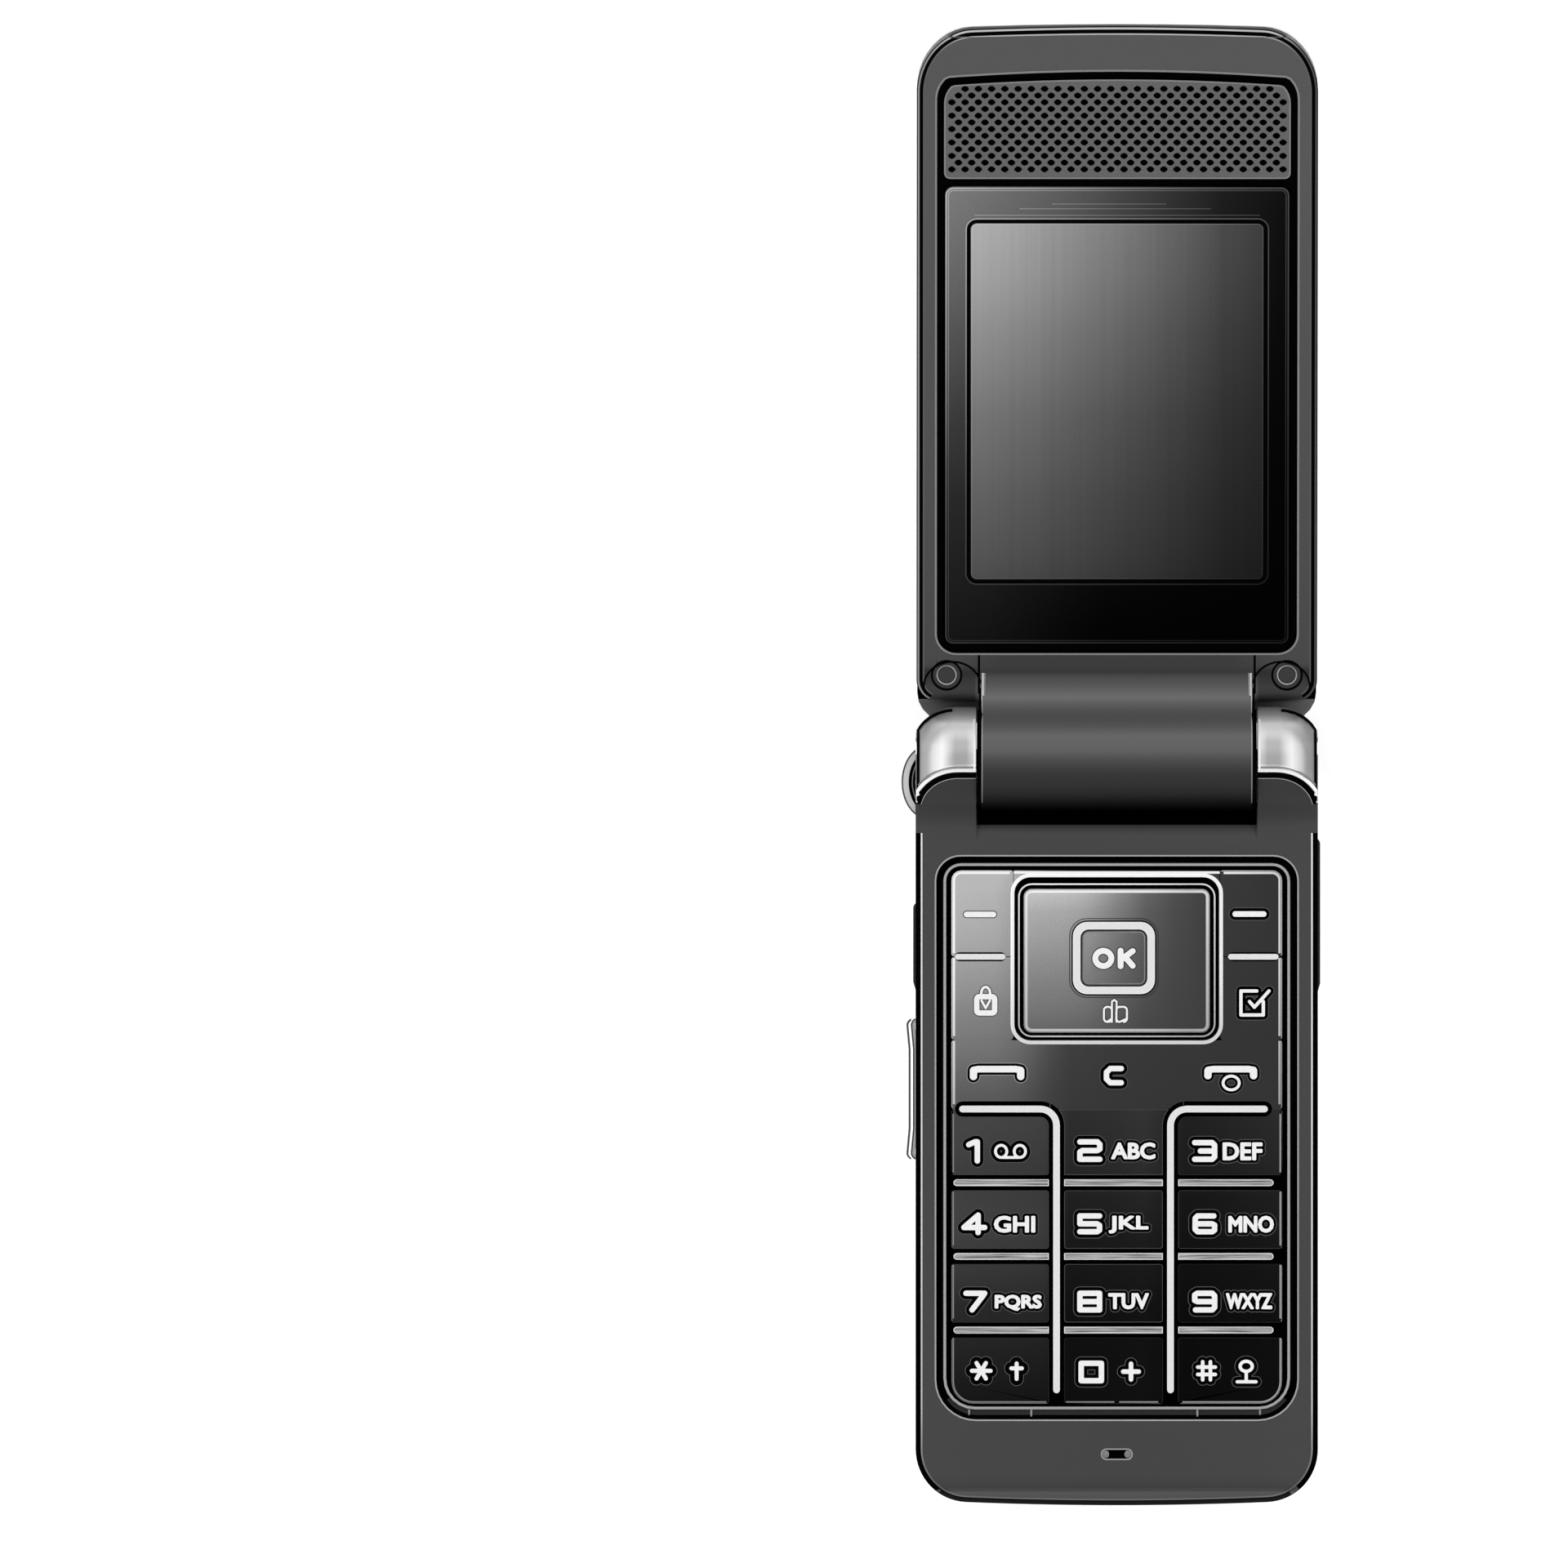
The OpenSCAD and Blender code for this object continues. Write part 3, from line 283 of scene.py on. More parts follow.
# Painted light and shade on the lid's screen side: LID_RISE paints the barrel's gradient and the shading
# along the lid; the first spot paints a darker band across the lid below the window, and the other four
# paint shade on the hinge lobes, darkest at their lower ends.
LID_RISE = (
    (84, 0.0), (86.6, 0.0), (87.6, 0.05), (88.6, 0.1), (89.6, 0.15), (90.6, 0.25),
    (91.6, 0.4), (92.6, 0.63), (94.6, 0.8), (95.6, 0.6), (96.6, 0.54), (97.6, 0.6),
    (98.2, 0.73), (99.2, 0.92), (100.7, 0.61), (101.6, 0.45), (102.4, 0.21), (103.2, 0.33),
    (104.2, 0.35), (109.7, 0.355), (124.7, 0.41), (144.8, 0.45), (164.8, 0.51), (184, 0.505),
)
LID_CASE = material(
    "lid_case", 0, 112,
    rough=0.42, spec=0.15, bump=0.03, spread=0.03,
    fades=(upward(84, 184, *LID_RISE),),
    spots=(
        (-17, 17, 102.8, 105.4, 3, 0.6, 0.72),
        (-26, -17.2, 94, 102.6, 0.3, 0.7, 0.42),
        (17.2, 26, 94, 102.6, 0.3, 0.7, 0.42),
        (-26, -17.2, 94, 99.4, 0.3, 1.0, 0.1),
        (17.2, 26, 94, 99.4, 0.3, 1.0, 0.1),
    ),
)
# Painted light on the number keys: the fades make them brighter to the left and upwards, and the spot is a
# painted highlight on the left-hand keys.
KEYS_ACROSS = (
    (-21, 1.0), (-15, 0.9), (-9, 0.8), (-5.8, 0.38), (0, 0.42),
    (3.3, 0.5), (8.5, 0.19), (13.3, 0.24), (20, 0.35),
)
KEYS_RISE = (
    (12, 0.11), (19.4, 0.13), (24.4, 0.15), (28.4, 0.27),
    (32.5, 0.34), (37.5, 0.55), (42, 0.86), (49, 1.15),
)
KEYS = material(
    "number_keys", 0, 68,
    rough=0.38, spec=0.05, spread=0.06,
    fades=(across(*KEYS_ACROSS), upward(12, 49, *KEYS_RISE)),
    spots=((-21.5, -7, 17, 37, 0.9, 4, 2.4),),
)
# Painted light on the function keys: brighter to the left and upwards.
FUNCTION_ACROSS = (
    (-21, 1.0), (-15, 0.93), (-12, 0.72), (-9.5, 0.4), (-7.8, 0.22),
    (-5.8, 0.1), (0, 0.05), (6, 0.03), (20, 0.0),
)
FUNCTION_RISE = (
    (48, 0.14), (50.5, 0.17), (52.5, 0.22), (55.5, 0.31), (60.5, 0.45),
    (64.5, 0.63), (70.5, 0.88), (75, 1.0), (78, 1.2),
)
FUNCTION = material(
    "function_keys", 49, 182,
    metal=0.1, rough=0.38, spec=0.2, spread=0.06,
    fades=(across(*FUNCTION_ACROSS), upward(48, 78, *FUNCTION_RISE)),
)
# Painted light on the navigation key: brighter to the left and upwards.
NAV = material(
    "nav_key", 60, 192,
    metal=0.1, rough=0.36, spec=0.25,
    fades=(
        across((-11.5, 1.0), (-6.5, 0.92), (-3.8, 0.8), (0, 0.42), (3.5, 0.16), (7, 0.06), (11, 0.0)),
        upward(58, 76, (58, 0.16), (61, 0.27), (64, 0.36), (67, 0.48), (70, 0.62), (73, 0.76), (76, 1.15)),
    ),
)
# Painted reflection on the display window: bright at the upper left, dark towards the lower right, with a
# darker spot over the lower right.
GLASS_ACROSS = (
    (-21, 1.0), (-17, 0.86), (-12, 0.7), (-7, 0.54),
    (0, 0.31), (7, 0.15), (13, 0.06), (21, 0.02),
)
GLASS_RISE = ((105, 0.03), (116, 0.07), (124, 0.11), (134, 0.22), (144, 0.44), (152, 0.7), (162, 1.0))
GLASS = material(
    "display_window", 0, 119,
    rough=0.2, rough_var=0.02, spec=0.03, bump=0.0,
    spots=((-9, 24, 96, 116, 7, 8, 0.15),),
    fades=(across(*GLASS_ACROSS), upward(105, 162, *GLASS_RISE)),
)
# Painted reflection on the display: bright at the upper left, dark towards the lower right.
LCD_RISE = ((112, 0.15), (117, 0.21), (124, 0.28), (134, 0.42), (144, 0.66), (151, 0.88), (158, 1.04))
LCD = material(
    "lcd_surface", 2, 168,
    rough=0.3, rough_var=0.02, spec=0.1, bump=0.0, grain=(1500, 8, 8), spread=0.05,
    fades=(
        across((-18, 1.0), (-13, 0.84), (-7, 0.65), (0, 0.45), (7, 0.28), (13, 0.15), (18, 0.1)),
        upward(112, 158, *LCD_RISE),
    ),
)
GRILLE = material("grille_metal", 90, 104, metal=0.2, rough=0.42, spec=0.25, bump=0.05)
WHITE = material("legend_white", 226, 240, rough=0.5, spec=0.2, bump=0.0)
RIM = material("legend_rim", 80, 92, rough=0.5, spec=0.1, bump=0.0)
FLAP = material("flap_plastic", 36, 46, rough=0.46, spec=0.35, bump=0.05)
CAP = material("screw_cap", 46, 58, rough=0.45, spec=0.3, bump=0.05)
STEEL = material("plain_steel", 150, 172, metal=1.0, rough=0.3, bump=0.05)
GOLD = material("contact_gold", (0.55, 0.38, 0.12, 1), (0.7, 0.5, 0.2, 1), metal=1.0, rough=0.3)
BOARD_GRAIN = (1500, 1500, 1500)
BOARD = material("solder_mask", (0.01, 0.07, 0.025, 1), (0.02, 0.1, 0.04, 1), rough=0.35, grain=BOARD_GRAIN)
WRAP = material("battery_wrap", 50, 60, rough=0.45, grain=(3000, 3000, 3000))
FILM = material("flex_film", (0.32, 0.14, 0.02, 1), (0.42, 0.2, 0.03, 1), rough=0.3)
LENS = material("lens_glass", 3, 8, rough=0.05, rough_var=0.01, spec=0.7, coat=1.0, bump=0.0)
# Painted blue glint at the middle of the lens.
LENS_GLINT = material("lens_glint_blue", (0.01, 0.02, 0.09, 1), (0.05, 0.08, 0.3, 1), rough=0.1, coat=1.0, bump=0.0)
# The line materials below paint highlights along edges; their fades make each line brighter where the light
# falls more strongly.
BASE_LINE = line_material(
    "base_edge_line", 235,
    upward(0, 92, (0, 0.09), (2, 0.12), (6, 0.25), (12, 0.6), (30, 0.8), (92, 1.0)),
)
LID_RIM = line_material(
    "lid_edge_rim", 205,
    across((-25, 0.4), (-23, 0.45), (-20, 0.8), (19, 0.75), (22.5, 0.15), (25, 0.08)),
)
LID_LINE = line_material(
    "lid_edge_line", 205,
    across((-25, 0.13), (-22, 0.2), (-18, 0.7), (18, 0.7), (22, 0.2), (25, 0.13)),
)
FIELD_EDGE = line_material(
    "field_edge", 252,
    across((-21, 1.0), (12, 0.95), (16, 0.8), (21, 0.66)),
    upward(48, 79, (48, 0.5), (58, 0.75), (66, 0.95), (79, 1.0)),
)
KEY_EDGE = line_material("key_edge", 175, across((-21, 0.55), (-6, 0.5), (0, 0.6), (21, 0.95)))
NECK_LINE = line_material(
    "neck_line", 195,
    upward(84, 105, (84, 0.15), (88, 0.35), (93, 0.62), (98, 1.0), (105, 1.0)),
)
NAV_EDGE = line_material(
    "nav_edge", 245,
    across((-12, 0.8), (-10, 1.0), (4, 0.9), (9, 0.7), (10.6, 0.75), (12, 0.8)),
    upward(57, 77, (57, 0.55), (60, 0.6), (68, 0.75), (77, 1.0)),
)
GLASS_RIM = line_material(
    "window_rim", 180,
    across((-21.3, 1.0), (-10, 0.7), (0, 0.4), (10, 0.2), (21.3, 0.12)),
    upward(105, 162, (105, 0.06), (120, 0.11), (128, 0.18), (140, 0.48), (162, 1.0)),
)
LCD_RIM = line_material(
    "lcd_rim", 215,
    across((-18, 1.0), (0, 0.55), (18, 0.2)),
    upward(112, 158, (112, 0.16), (124, 0.34), (144, 0.68), (158, 1.0)),
)

BY_SLOT = {
    "silver_shell": SILVER,
    "dark_shell": DARK,
    "chrome_trim": CHROME,
    "brushed_panel": PANEL,
    "dark_brushed": DARK_BRUSHED,
    "black_window": GLASS,
    "lcd_panel": BLACK,
    "grille_metal": GRILLE,
    "number_key": KEYS,
    "function_key": FUNCTION,
    "nav_metal": NAV,
    "black_plastic": BLACK,
    "flap_plastic": FLAP,
    "gold_contact": GOLD,
    "steel_part": STEEL,
    "board_green": BOARD,
    "battery_label": WRAP,
    "flex_film": FILM,
}
for entry in frame["record"]["subparts"]:
    mesh = NODES[entry["node"]].data
    mesh.materials.clear()
    mesh.materials.append(BY_SLOT[entry["material_slot"]])
# These pieces sit behind gaps and are painted black, as shade in the gaps in front of them.
for node in ("microphone", "hinge_pins", "nav_pivot"):
    NODES[node].data.materials.clear()
    NODES[node].data.materials.append(BLACK)


# ------------------------------------------------------------------ mesh helpers


def place_mesh(name, me, body, smooth, swaps=()):
    me.shade_smooth()
    me.set_sharp_from_angle(angle=math.radians(smooth))
    ob = bpy.data.objects.new(name, me)
    bpy.context.scene.collection.objects.link(ob)
    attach(ob, body)
    if swaps:
        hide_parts(*swaps)
    return ob


def add_mesh(name, verts, faces, mats, body, space=BASE, face_mats=None, smooth=32, swaps=()):
    me = bpy.data.meshes.new(name)
    me.from_pydata([space @ (Vector(v) * MM) for v in verts], [], faces)
    for m in mats:
        me.materials.append(m)
    if face_mats:
        for p, i in zip(me.polygons, face_mats):
            p.material_index = i
    return place_mesh(name, me, body, smooth, swaps)


def dress(node, mats, cuts=(), space=BASE, smooth=32, paint=None):
    """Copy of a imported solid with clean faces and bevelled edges. A cut is a test of an edge's two
    ends, a width, the number of segments and the material of the new faces."""
    src = NODES[node]
    bm = bmesh.new()
    bm.from_mesh(src.data)
    bmesh.ops.remove_doubles(bm, verts=bm.verts, dist=2e-6)
    bmesh.ops.dissolve_limit(bm, angle_limit=math.radians(0.6), verts=bm.verts, edges=bm.edges)
    inv = space.inverted()
    turn = inv.to_3x3()
    bm.normal_update()
    for f in bm.faces:
        f.material_index = paint((inv @ f.calc_center_median()) / MM, turn @ f.normal) if paint else 0
    for test, width, segments, index in cuts:
        bm.normal_update()
        picked = []
        for e in bm.edges:
            if len(e.link_faces) == 2 and e.calc_face_angle(0.0) > math.radians(28):
                a, b = ((inv @ v.co) / MM for v in e.verts)
                if test(a, b):
                    picked.append(e)
        if picked:
            bmesh.ops.bevel(
                bm,
                geom=picked,
                offset=width * MM,
                offset_type="OFFSET",
                segments=segments,
                profile=0.5,
                affect="EDGES",
                clamp_overlap=True,
                material=index,
            )
    me = bpy.data.meshes.new(node + "_skin")
    bm.to_mesh(me)
    bm.free()
    for m in mats:
        me.materials.append(m)
    skin = place_mesh(node + "_skin", me, src["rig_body"], smooth, (node,))
    weighted = skin.modifiers.new("flat_faces", "WEIGHTED_NORMAL")
    weighted.mode = "FACE_AREA"
    weighted.keep_sharp = True
    return skin


def every_edge(_a, _b):
    return True


def arc(cx, cy, rx, ry, a0, a1, n):
    turns = [math.radians(a0 + (a1 - a0) * i / n) for i in range(n + 1)]
    return [(cx + rx * math.cos(a), cy + ry * math.sin(a)) for a in turns]


def rounded(x0, x1, y0, y1, r, n=8, top=None):
    """Rounded rectangle; top is the radius of its upper corners where they differ."""
    t = top or r
    return (
        arc(x1 - r, y0 + r, r, r, -90, 0, n)
        + arc(x1 - t, y1 - t, t, t, 0, 90, n)
        + arc(x0 + t, y1 - t, t, t, 90, 180, n)
        + arc(x0 + r, y0 + r, r, r, 180, 270, n)
    )


def bowed(pts, top, bow):
    """Outline whose upper edge is held under an arc of a large radius; that edge gets more points."""
    out = []
    for a, b in zip(pts, pts[1:] + pts[:1]):
        out.append(a)
        if abs(a[0] - b[0]) > 5 and a[1] > top - 2:
            out += [(a[0] + (b[0] - a[0]) * k / 12, a[1]) for k in range(1, 12)]
    return [(x, min(y, top - bow + math.sqrt(bow * bow - x * x))) for x, y in out]


def inside_depth(x, y, x0, x1, y0, y1, r):
    """How far a point lies inside a rounded rectangle; negative outside."""
    qx = abs(x - (x0 + x1) / 2) - (x1 - x0) / 2 + r
    qy = abs(y - (y0 + y1) / 2) - (y1 - y0) / 2 + r
    return r - math.hypot(max(qx, 0), max(qy, 0)) - min(max(qx, qy), 0)


def mitres(pts, closed):
    """Left-hand normals of an outline, lengthened at its corners."""
    out = []
    n = len(pts)
    for i in range(n):
        b = Vector(pts[i][:2])
        a = Vector(pts[i - 1][:2]) if closed or i else b
        c = Vector(pts[(i + 1) % n][:2]) if closed or i < n - 1 else b
        d1 = (b - a) if (b - a).length > 1e-9 else (c - b)
        d2 = (c - b) if (c - b).length > 1e-9 else d1
        d1 = d1.normalized()
        d2 = d2.normalized()
        t = (d1 + d2).normalized()
        nrm = Vector((-t.y, t.x))
        out.append(nrm / max(0.5, nrm.dot(Vector((-d1.y, d1.x)))))
    return out


def offset(pts, d, closed=True):
    """Outline moved by d to its left, which is inwards on a counter-clockwise one."""
    return [(p[0] + n.x * d, p[1] + n.y * d) for p, n in zip(pts, mitres(pts, closed))]


def strip(name, pts, steps, z, mat, body, space=BASE, closed=True):
    """Moulding along an outline; steps are pairs of an inward offset and a height over z,
    and z is a number or a function of x and y."""
    nrm = mitres(pts, closed)
    verts, faces = [], []
    for p, q in zip(pts, nrm):
        for d, h in steps:
            x, y = p[0] + q.x * d, p[1] + q.y * d
            verts.append((x, y, (z(x, y) if callable(z) else z) + h))
    m = len(steps)
    count = len(pts)
    for i in range(count if closed else count - 1):
        j = (i + 1) % count
        for k in range(m - 1):
            faces.append((i * m + k, j * m + k, j * m + k + 1, i * m + k + 1))
    return add_mesh(name, verts, faces, [mat], body, space, smooth=60)


def bead(name, pts, place, width, z, mat, body, height, space=BASE, closed=True):
    """Rounded line of a given width whose middle lies a given distance inside an outline."""
    turns = [math.pi * k / 5 for k in range(6)]
    steps = [(place - math.cos(t) * width / 2, math.sin(t) * height) for t in turns]
    return strip(name, pts, steps, z, mat, body, space, closed)


def band(name, pts, d0, d1, z, mat, body, space=BASE, closed=True, lift=0.01):
    """Flat line between two distances inside an outline."""
    return strip(name, pts, [(d0, lift), (d1, lift)], z, mat, body, space, closed)


def tube(name, path, r, mat, body, space=BASE, sides=8):
    """Round line along a three-dimensional path."""
    pts = [Vector(p) for p in path]
    verts, faces = [], []
    side = None
    for i, p in enumerate(pts):
        t = (pts[min(i + 1, len(pts) - 1)] - pts[max(i - 1, 0)]).normalized()
        if side is None:
            side = t.orthogonal().normalized()
        side = (side - t * side.dot(t)).normalized()
        up = t.cross(side)
        for k in range(sides):
            a = 2 * math.pi * k / sides
            verts.append(p + (side * math.cos(a) + up * math.sin(a)) * r)
    for i in range(len(pts) - 1):
        for k in range(sides):
            q = (k + 1) % sides
            faces.append((i * sides + k, i * sides + q, (i + 1) * sides + q, (i + 1) * sides + k))
    faces.append(tuple(reversed(range(sides))))
    faces.append(tuple(range((len(pts) - 1) * sides, len(pts) * sides)))
    return add_mesh(name, verts, faces, [mat], body, space, smooth=60)


def lathe(name, x, y, profile, mats, body, space=BASE, sides=40, swaps=()):
    """Turned piece about an upright axis; the profile is a list of radius, height and material."""
    verts, faces, index = [], [], []
    for r, z, _ in profile:
        for k in range(sides):
            a = 2 * math.pi * k / sides
            verts.append((x + r * math.cos(a), y + r * math.sin(a), z))
    for i in range(len(profile) - 1):
        for k in range(sides):
            q = (k + 1) % sides
            faces.append((i * sides + k, i * sides + q, (i + 1) * sides + q, (i + 1) * sides + k))
            index.append(profile[i][2])
    faces.append(tuple(range((len(profile) - 1) * sides, len(profile) * sides)))
    index.append(profile[-1][2])
    return add_mesh(name, verts, faces, mats, body, space, index, smooth=35, swaps=swaps)


def holds(loop, point):
    """True where a point lies inside an outline."""
    x, y = point
    odd = False
    for (xa, ya), (xb, yb) in zip(loop, loop[1:] + loop[:1]):
        if (ya > y) != (yb > y) and x < (xb - xa) * (y - ya) / (yb - ya) + xa:
            odd = not odd
    return odd


def sheet(loops, z):
    """Flat triangulated sheet from outlines; those inside another outline are its holes."""
    outer, holes = [], []
    for loop in loops:
        depth = sum(holds(other, loop[0]) for other in loops if other is not loop)
        (holes if depth % 2 else outer).append(loop)
    verts, tris = [], []
    for rim in outer:
        islands = [other for other in outer if other is not rim and holds(rim, other[0])]
        inside = [h for h in holes if holds(rim, h[0]) and not any(holds(i, h[0]) for i in islands)]
        flat = [(x, y, z) for loop in [rim] + inside for x, y in loop]
        first = len(verts)
        verts += flat
        for t in tessellate_polygon([[Vector((x, y, 0)) for x, y in loop] for loop in [rim] + inside]):
            a, b, c = (Vector(flat[i]) for i in t)
            t = t if (b - a).cross(c - a).z > 0 else (t[0], t[2], t[1])
            tris.append(tuple(first + i for i in t))
    return verts, tris


def slab(name, pts, z0, z1, edge, mats, body, space=BASE, swaps=()):
    """Flat plate with a bevelled rim; mats are those of the top and the rim."""
    inner = offset(pts, edge)
    n = len(pts)
    levels = ((pts, z0), (pts, z1 - edge * 0.6), (inner, z1))
    verts = [(x, y, z) for outline, z in levels for x, y in outline]
    faces, index = [tuple(range(2 * n, 3 * n))], [0]
    for i in range(n):
        j = (i + 1) % n
        for level in (0, 1):
            faces.append((level * n + i, level * n + j, (level + 1) * n + j, (level + 1) * n + i))
            index.append(1)
    return add_mesh(name, verts, faces, mats, body, space, index, smooth=25, swaps=swaps)


# ------------------------------------------------------------------ printed marks


def stroke_field(strokes, xs, ys):
    """Distance from each point of a grid to a set of round-ended strokes (width first)."""
    gx, gy = np.meshgrid(xs, ys, indexing="ij")
    best = np.full(gx.shape, 1e9)
    for half, *pts in strokes:
        for a, b in zip(pts, pts[1:] if len(pts) > 1 else pts):
            dx, dy = b[0] - a[0], b[1] - a[1]
            square = dx * dx + dy * dy
            t = np.clip(((gx - a[0]) * dx + (gy - a[1]) * dy) / square, 0, 1) if square else 0.0
            best = np.minimum(best, np.hypot(gx - a[0] - dx * t, gy - a[1] - dy * t) - half)
    return best


def loop_field(loops, xs, ys):
    """Signed distance from each point of a grid to closed outlines, negative inside."""
    gx, gy = np.meshgrid(xs, ys, indexing="ij")
    odd = np.zeros(gx.shape, bool)
    for lp in loops:
        for (xa, ya), (xb, yb) in zip(lp, lp[1:] + lp[:1]):
            if ya != yb:
                odd ^= ((ya > gy) != (yb > gy)) & (gx < (xb - xa) * (gy - ya) / (yb - ya) + xa)
    edge = stroke_field([[0.0] + lp + [lp[0]] for lp in loops], xs, ys)
    return np.where(odd, -edge, edge)


def contours(field, xs, ys):
    """Closed lines where a gridded field crosses zero (marching squares)."""
    field = field + 1e-7
    links = {}

    def crossing(p, q):
        a, b = field[p], field[q]
        t = a / (a - b)
        return (xs[p[0]] + (xs[q[0]] - xs[p[0]]) * t, ys[p[1]] + (ys[q[1]] - ys[p[1]]) * t)

    low = field < 0
    mixed = low[:-1, :-1].astype(int) + low[1:, :-1] + low[1:, 1:] + low[:-1, 1:]
    for i, j in zip(*np.nonzero((mixed > 0) & (mixed < 4))):
        ring = [(i, j), (i + 1, j), (i + 1, j + 1), (i, j + 1)]
        cut = []
        for k in range(4):
            p, q = ring[k], ring[(k + 1) % 4]
            if low[p] != low[q]:
                cut.append((low[p], (min(p, q), max(p, q))))
        for k, (leaving, key) in enumerate(cut):
            if leaving:
                links[key] = cut[(k + 1) % len(cut)][1]
    loops = []
    while links:
        key = next(iter(links))
        loop = []
        while key in links:
            loop.append(crossing(*key))
            key = links.pop(key)
        loops.append(thin_out(loop))
    return [lp for lp in loops if len(lp) > 3]


def thin_out(loop, tol=0.006):
    """Outline without the points that lie on the line between their neighbours."""
    kept = [loop[0]]
    for b, c in zip(loop[1:], loop[2:] + loop[:1]):
        a = kept[-1]
        dx, dy = c[0] - a[0], c[1] - a[1]
        size = math.hypot(dx, dy)
        if size > 0.5 or size < 1e-9 or abs((b[0] - a[0]) * dy - (b[1] - a[1]) * dx) / size > tol:
            kept.append(b)
    return kept


def glyph_loops(word):
    """Outlines of a word in the built-in font."""
    curve = bpy.data.curves.new("glyphs", "FONT")
    curve.body = word
    curve.resolution_u = 3
    curve.fill_mode = "NONE"
    ob = bpy.data.objects.new("glyphs", curve)
    bpy.context.scene.collection.objects.link(ob)
    bpy.context.view_layer.update()
    me = bpy.data.meshes.new_from_object(ob)
    near = {}
    for e in me.edges:
        a, b = e.vertices
        near.setdefault(a, []).append(b)
        near.setdefault(b, []).append(a)
    seen, loops = set(), []
    for v in near:
        loop = []
        while v is not None and v not in seen:
            seen.add(v)
            loop.append((me.vertices[v].co.x, me.vertices[v].co.y))
            v = next((w for w in near[v] if w not in seen), None)
        if len(loop) > 2:
            loops.append(loop)
    bpy.data.objects.remove(ob)
    bpy.data.curves.remove(curve)
    bpy.data.meshes.remove(me)
    return loops


class Marks:
    """White marks with a black surround and a faint rim, gathered into one piece."""

    def __init__(self, name, body, z):
        self.name, self.body, self.z = name, body, z
        self.verts, self.faces, self.index = [], [], []

    def layer(self, field, xs, ys, lift, index):
        loops = contours(field, xs, ys)
        if loops:
            verts, tris = sheet(loops, self.z + lift)
            first = len(self.verts)
            self.verts += verts
            self.faces += [tuple(first + i for i in t) for t in tris]
            self.index += [index] * len(tris)

    def draw(self, make, box, halo, rim, weight=0.0, step=0.06):
        pad = halo + rim + 0.2
        xs = np.arange(box[0] - pad, box[1] + pad + step, step)
        ys = np.arange(box[2] - pad, box[3] + pad + step, step)
        field = make(xs, ys)
        if rim:
            self.layer(field - halo - rim, xs, ys, 0.012, 2)
        if halo:
            self.layer(field - halo, xs, ys, 0.022, 1)
        self.layer(field - weight, xs, ys, 0.05, 0)

    def strokes(self, strokes, halo=0.42, rim=0.08, step=0.06):
        wide = max(s[0] for s in strokes)
        px = [p[0] for s in strokes for p in s[1:]]
        py = [p[1] for s in strokes for p in s[1:]]
        box = (min(px) - wide, max(px) + wide, min(py) - wide, max(py) + wide)
        self.draw(lambda xs, ys: stroke_field(strokes, xs, ys), box, halo, rim, 0.0, step)

    def word(self, word, x0, x1, y0, y1, halo=0.42, rim=0.08, weight=0.11):
        loops = glyph_loops(word)
        px = [p[0] for lp in loops for p in lp]
        py = [p[1] for lp in loops for p in lp]
        sx = (x1 - x0 - 2 * weight) / (max(px) - min(px))
        sy = (y1 - y0 - 2 * weight) / (max(py) - min(py))
        left, low = x0 + weight, y0 + weight
        fit = [[(left + (x - min(px)) * sx, low + (y - min(py)) * sy) for x, y in lp] for lp in loops]
        self.draw(lambda xs, ys: loop_field(fit, xs, ys), (x0, x1, y0, y1), halo, rim, weight, 0.055)

    def build(self, surround=BLACK, rim=RIM):
        mats = [WHITE, surround, rim]
        add_mesh(self.name, self.verts, self.faces, mats, self.body, BASE, self.index, smooth=20)


def ellipse(cx, cy, rx, ry, n=28):
    return arc(cx, cy, rx, ry, 0, 360, n)


def digit(figure, x0, x1, y0, y1, half=0.33):
    """Strokes of a wide squared figure."""
    left, right, low, top = x0 + half, x1 - half, y0 + half, y1 - half
    mid = (low + top) / 2
    c = 0.3
    a, b = (left, top), (right, top)
    stem = right - 0.8
    ring = [a, b, (right, low), (left, low), a]
    three_top = [a, (right - c, top), (right, top - c), (right, low + c), (right - c, low), (left, low)]
    two_top = [a, (right - c, top), (right, top - c), (right, mid + c * 0.6), (right - c, mid)]
    two_bend = [(left + c, mid), (left, mid - c * 0.6), (left, low), (right, low)]
    five_top = [b, a, (left, mid), (right - c, mid), (right, mid - c * 0.7), (right, low + c * 0.7)]
    six_left = [(right - 0.1, top), (left + c, top), (left, top - c), (left, low + c), (left + c, low)]
    six_right = [(left + c, low), (right - c, low), (right, low + c * 0.7), (right, mid - c * 0.5)]
    nine_right = [(left + 0.1, low), (right - c, low), (right, low + c), (right, top - c), (right - c, top)]
    nine_left = [(right - c, top), (left + c, top), (left, top - c * 0.7), (left, mid + c * 0.5)]
    figures = {
        "0": [ring],
        "1": [[(left, top - 0.35), (right - 0.3, top), (right, top), (right, low)]],
        "2": [two_top + [two_bend[0]], two_bend],
        "3": [three_top, [(left + 0.7, mid), (right - 0.2, mid)]],
        "4": [[(stem, top), (left, mid - 0.45), (right, mid - 0.45)], [(stem, top), (stem, low)]],
        "5": [five_top + [(right - c, low)], [(right - c, low), (left, low)]],
        "6": [six_left, six_right + [(right - c, mid)], [(right - c, mid), (left, mid)]],
        "7": [[a, (right - 0.1, top), (right - 0.3, top - 0.3), (left + 0.75, low)]],
        "8": [ring, [(left, mid), (right, mid)]],
        "9": [nine_right, nine_left + [(left + c, mid)], [(left + c, mid), (right, mid)]],
    }
    return [[half] + line for line in figures[figure]]


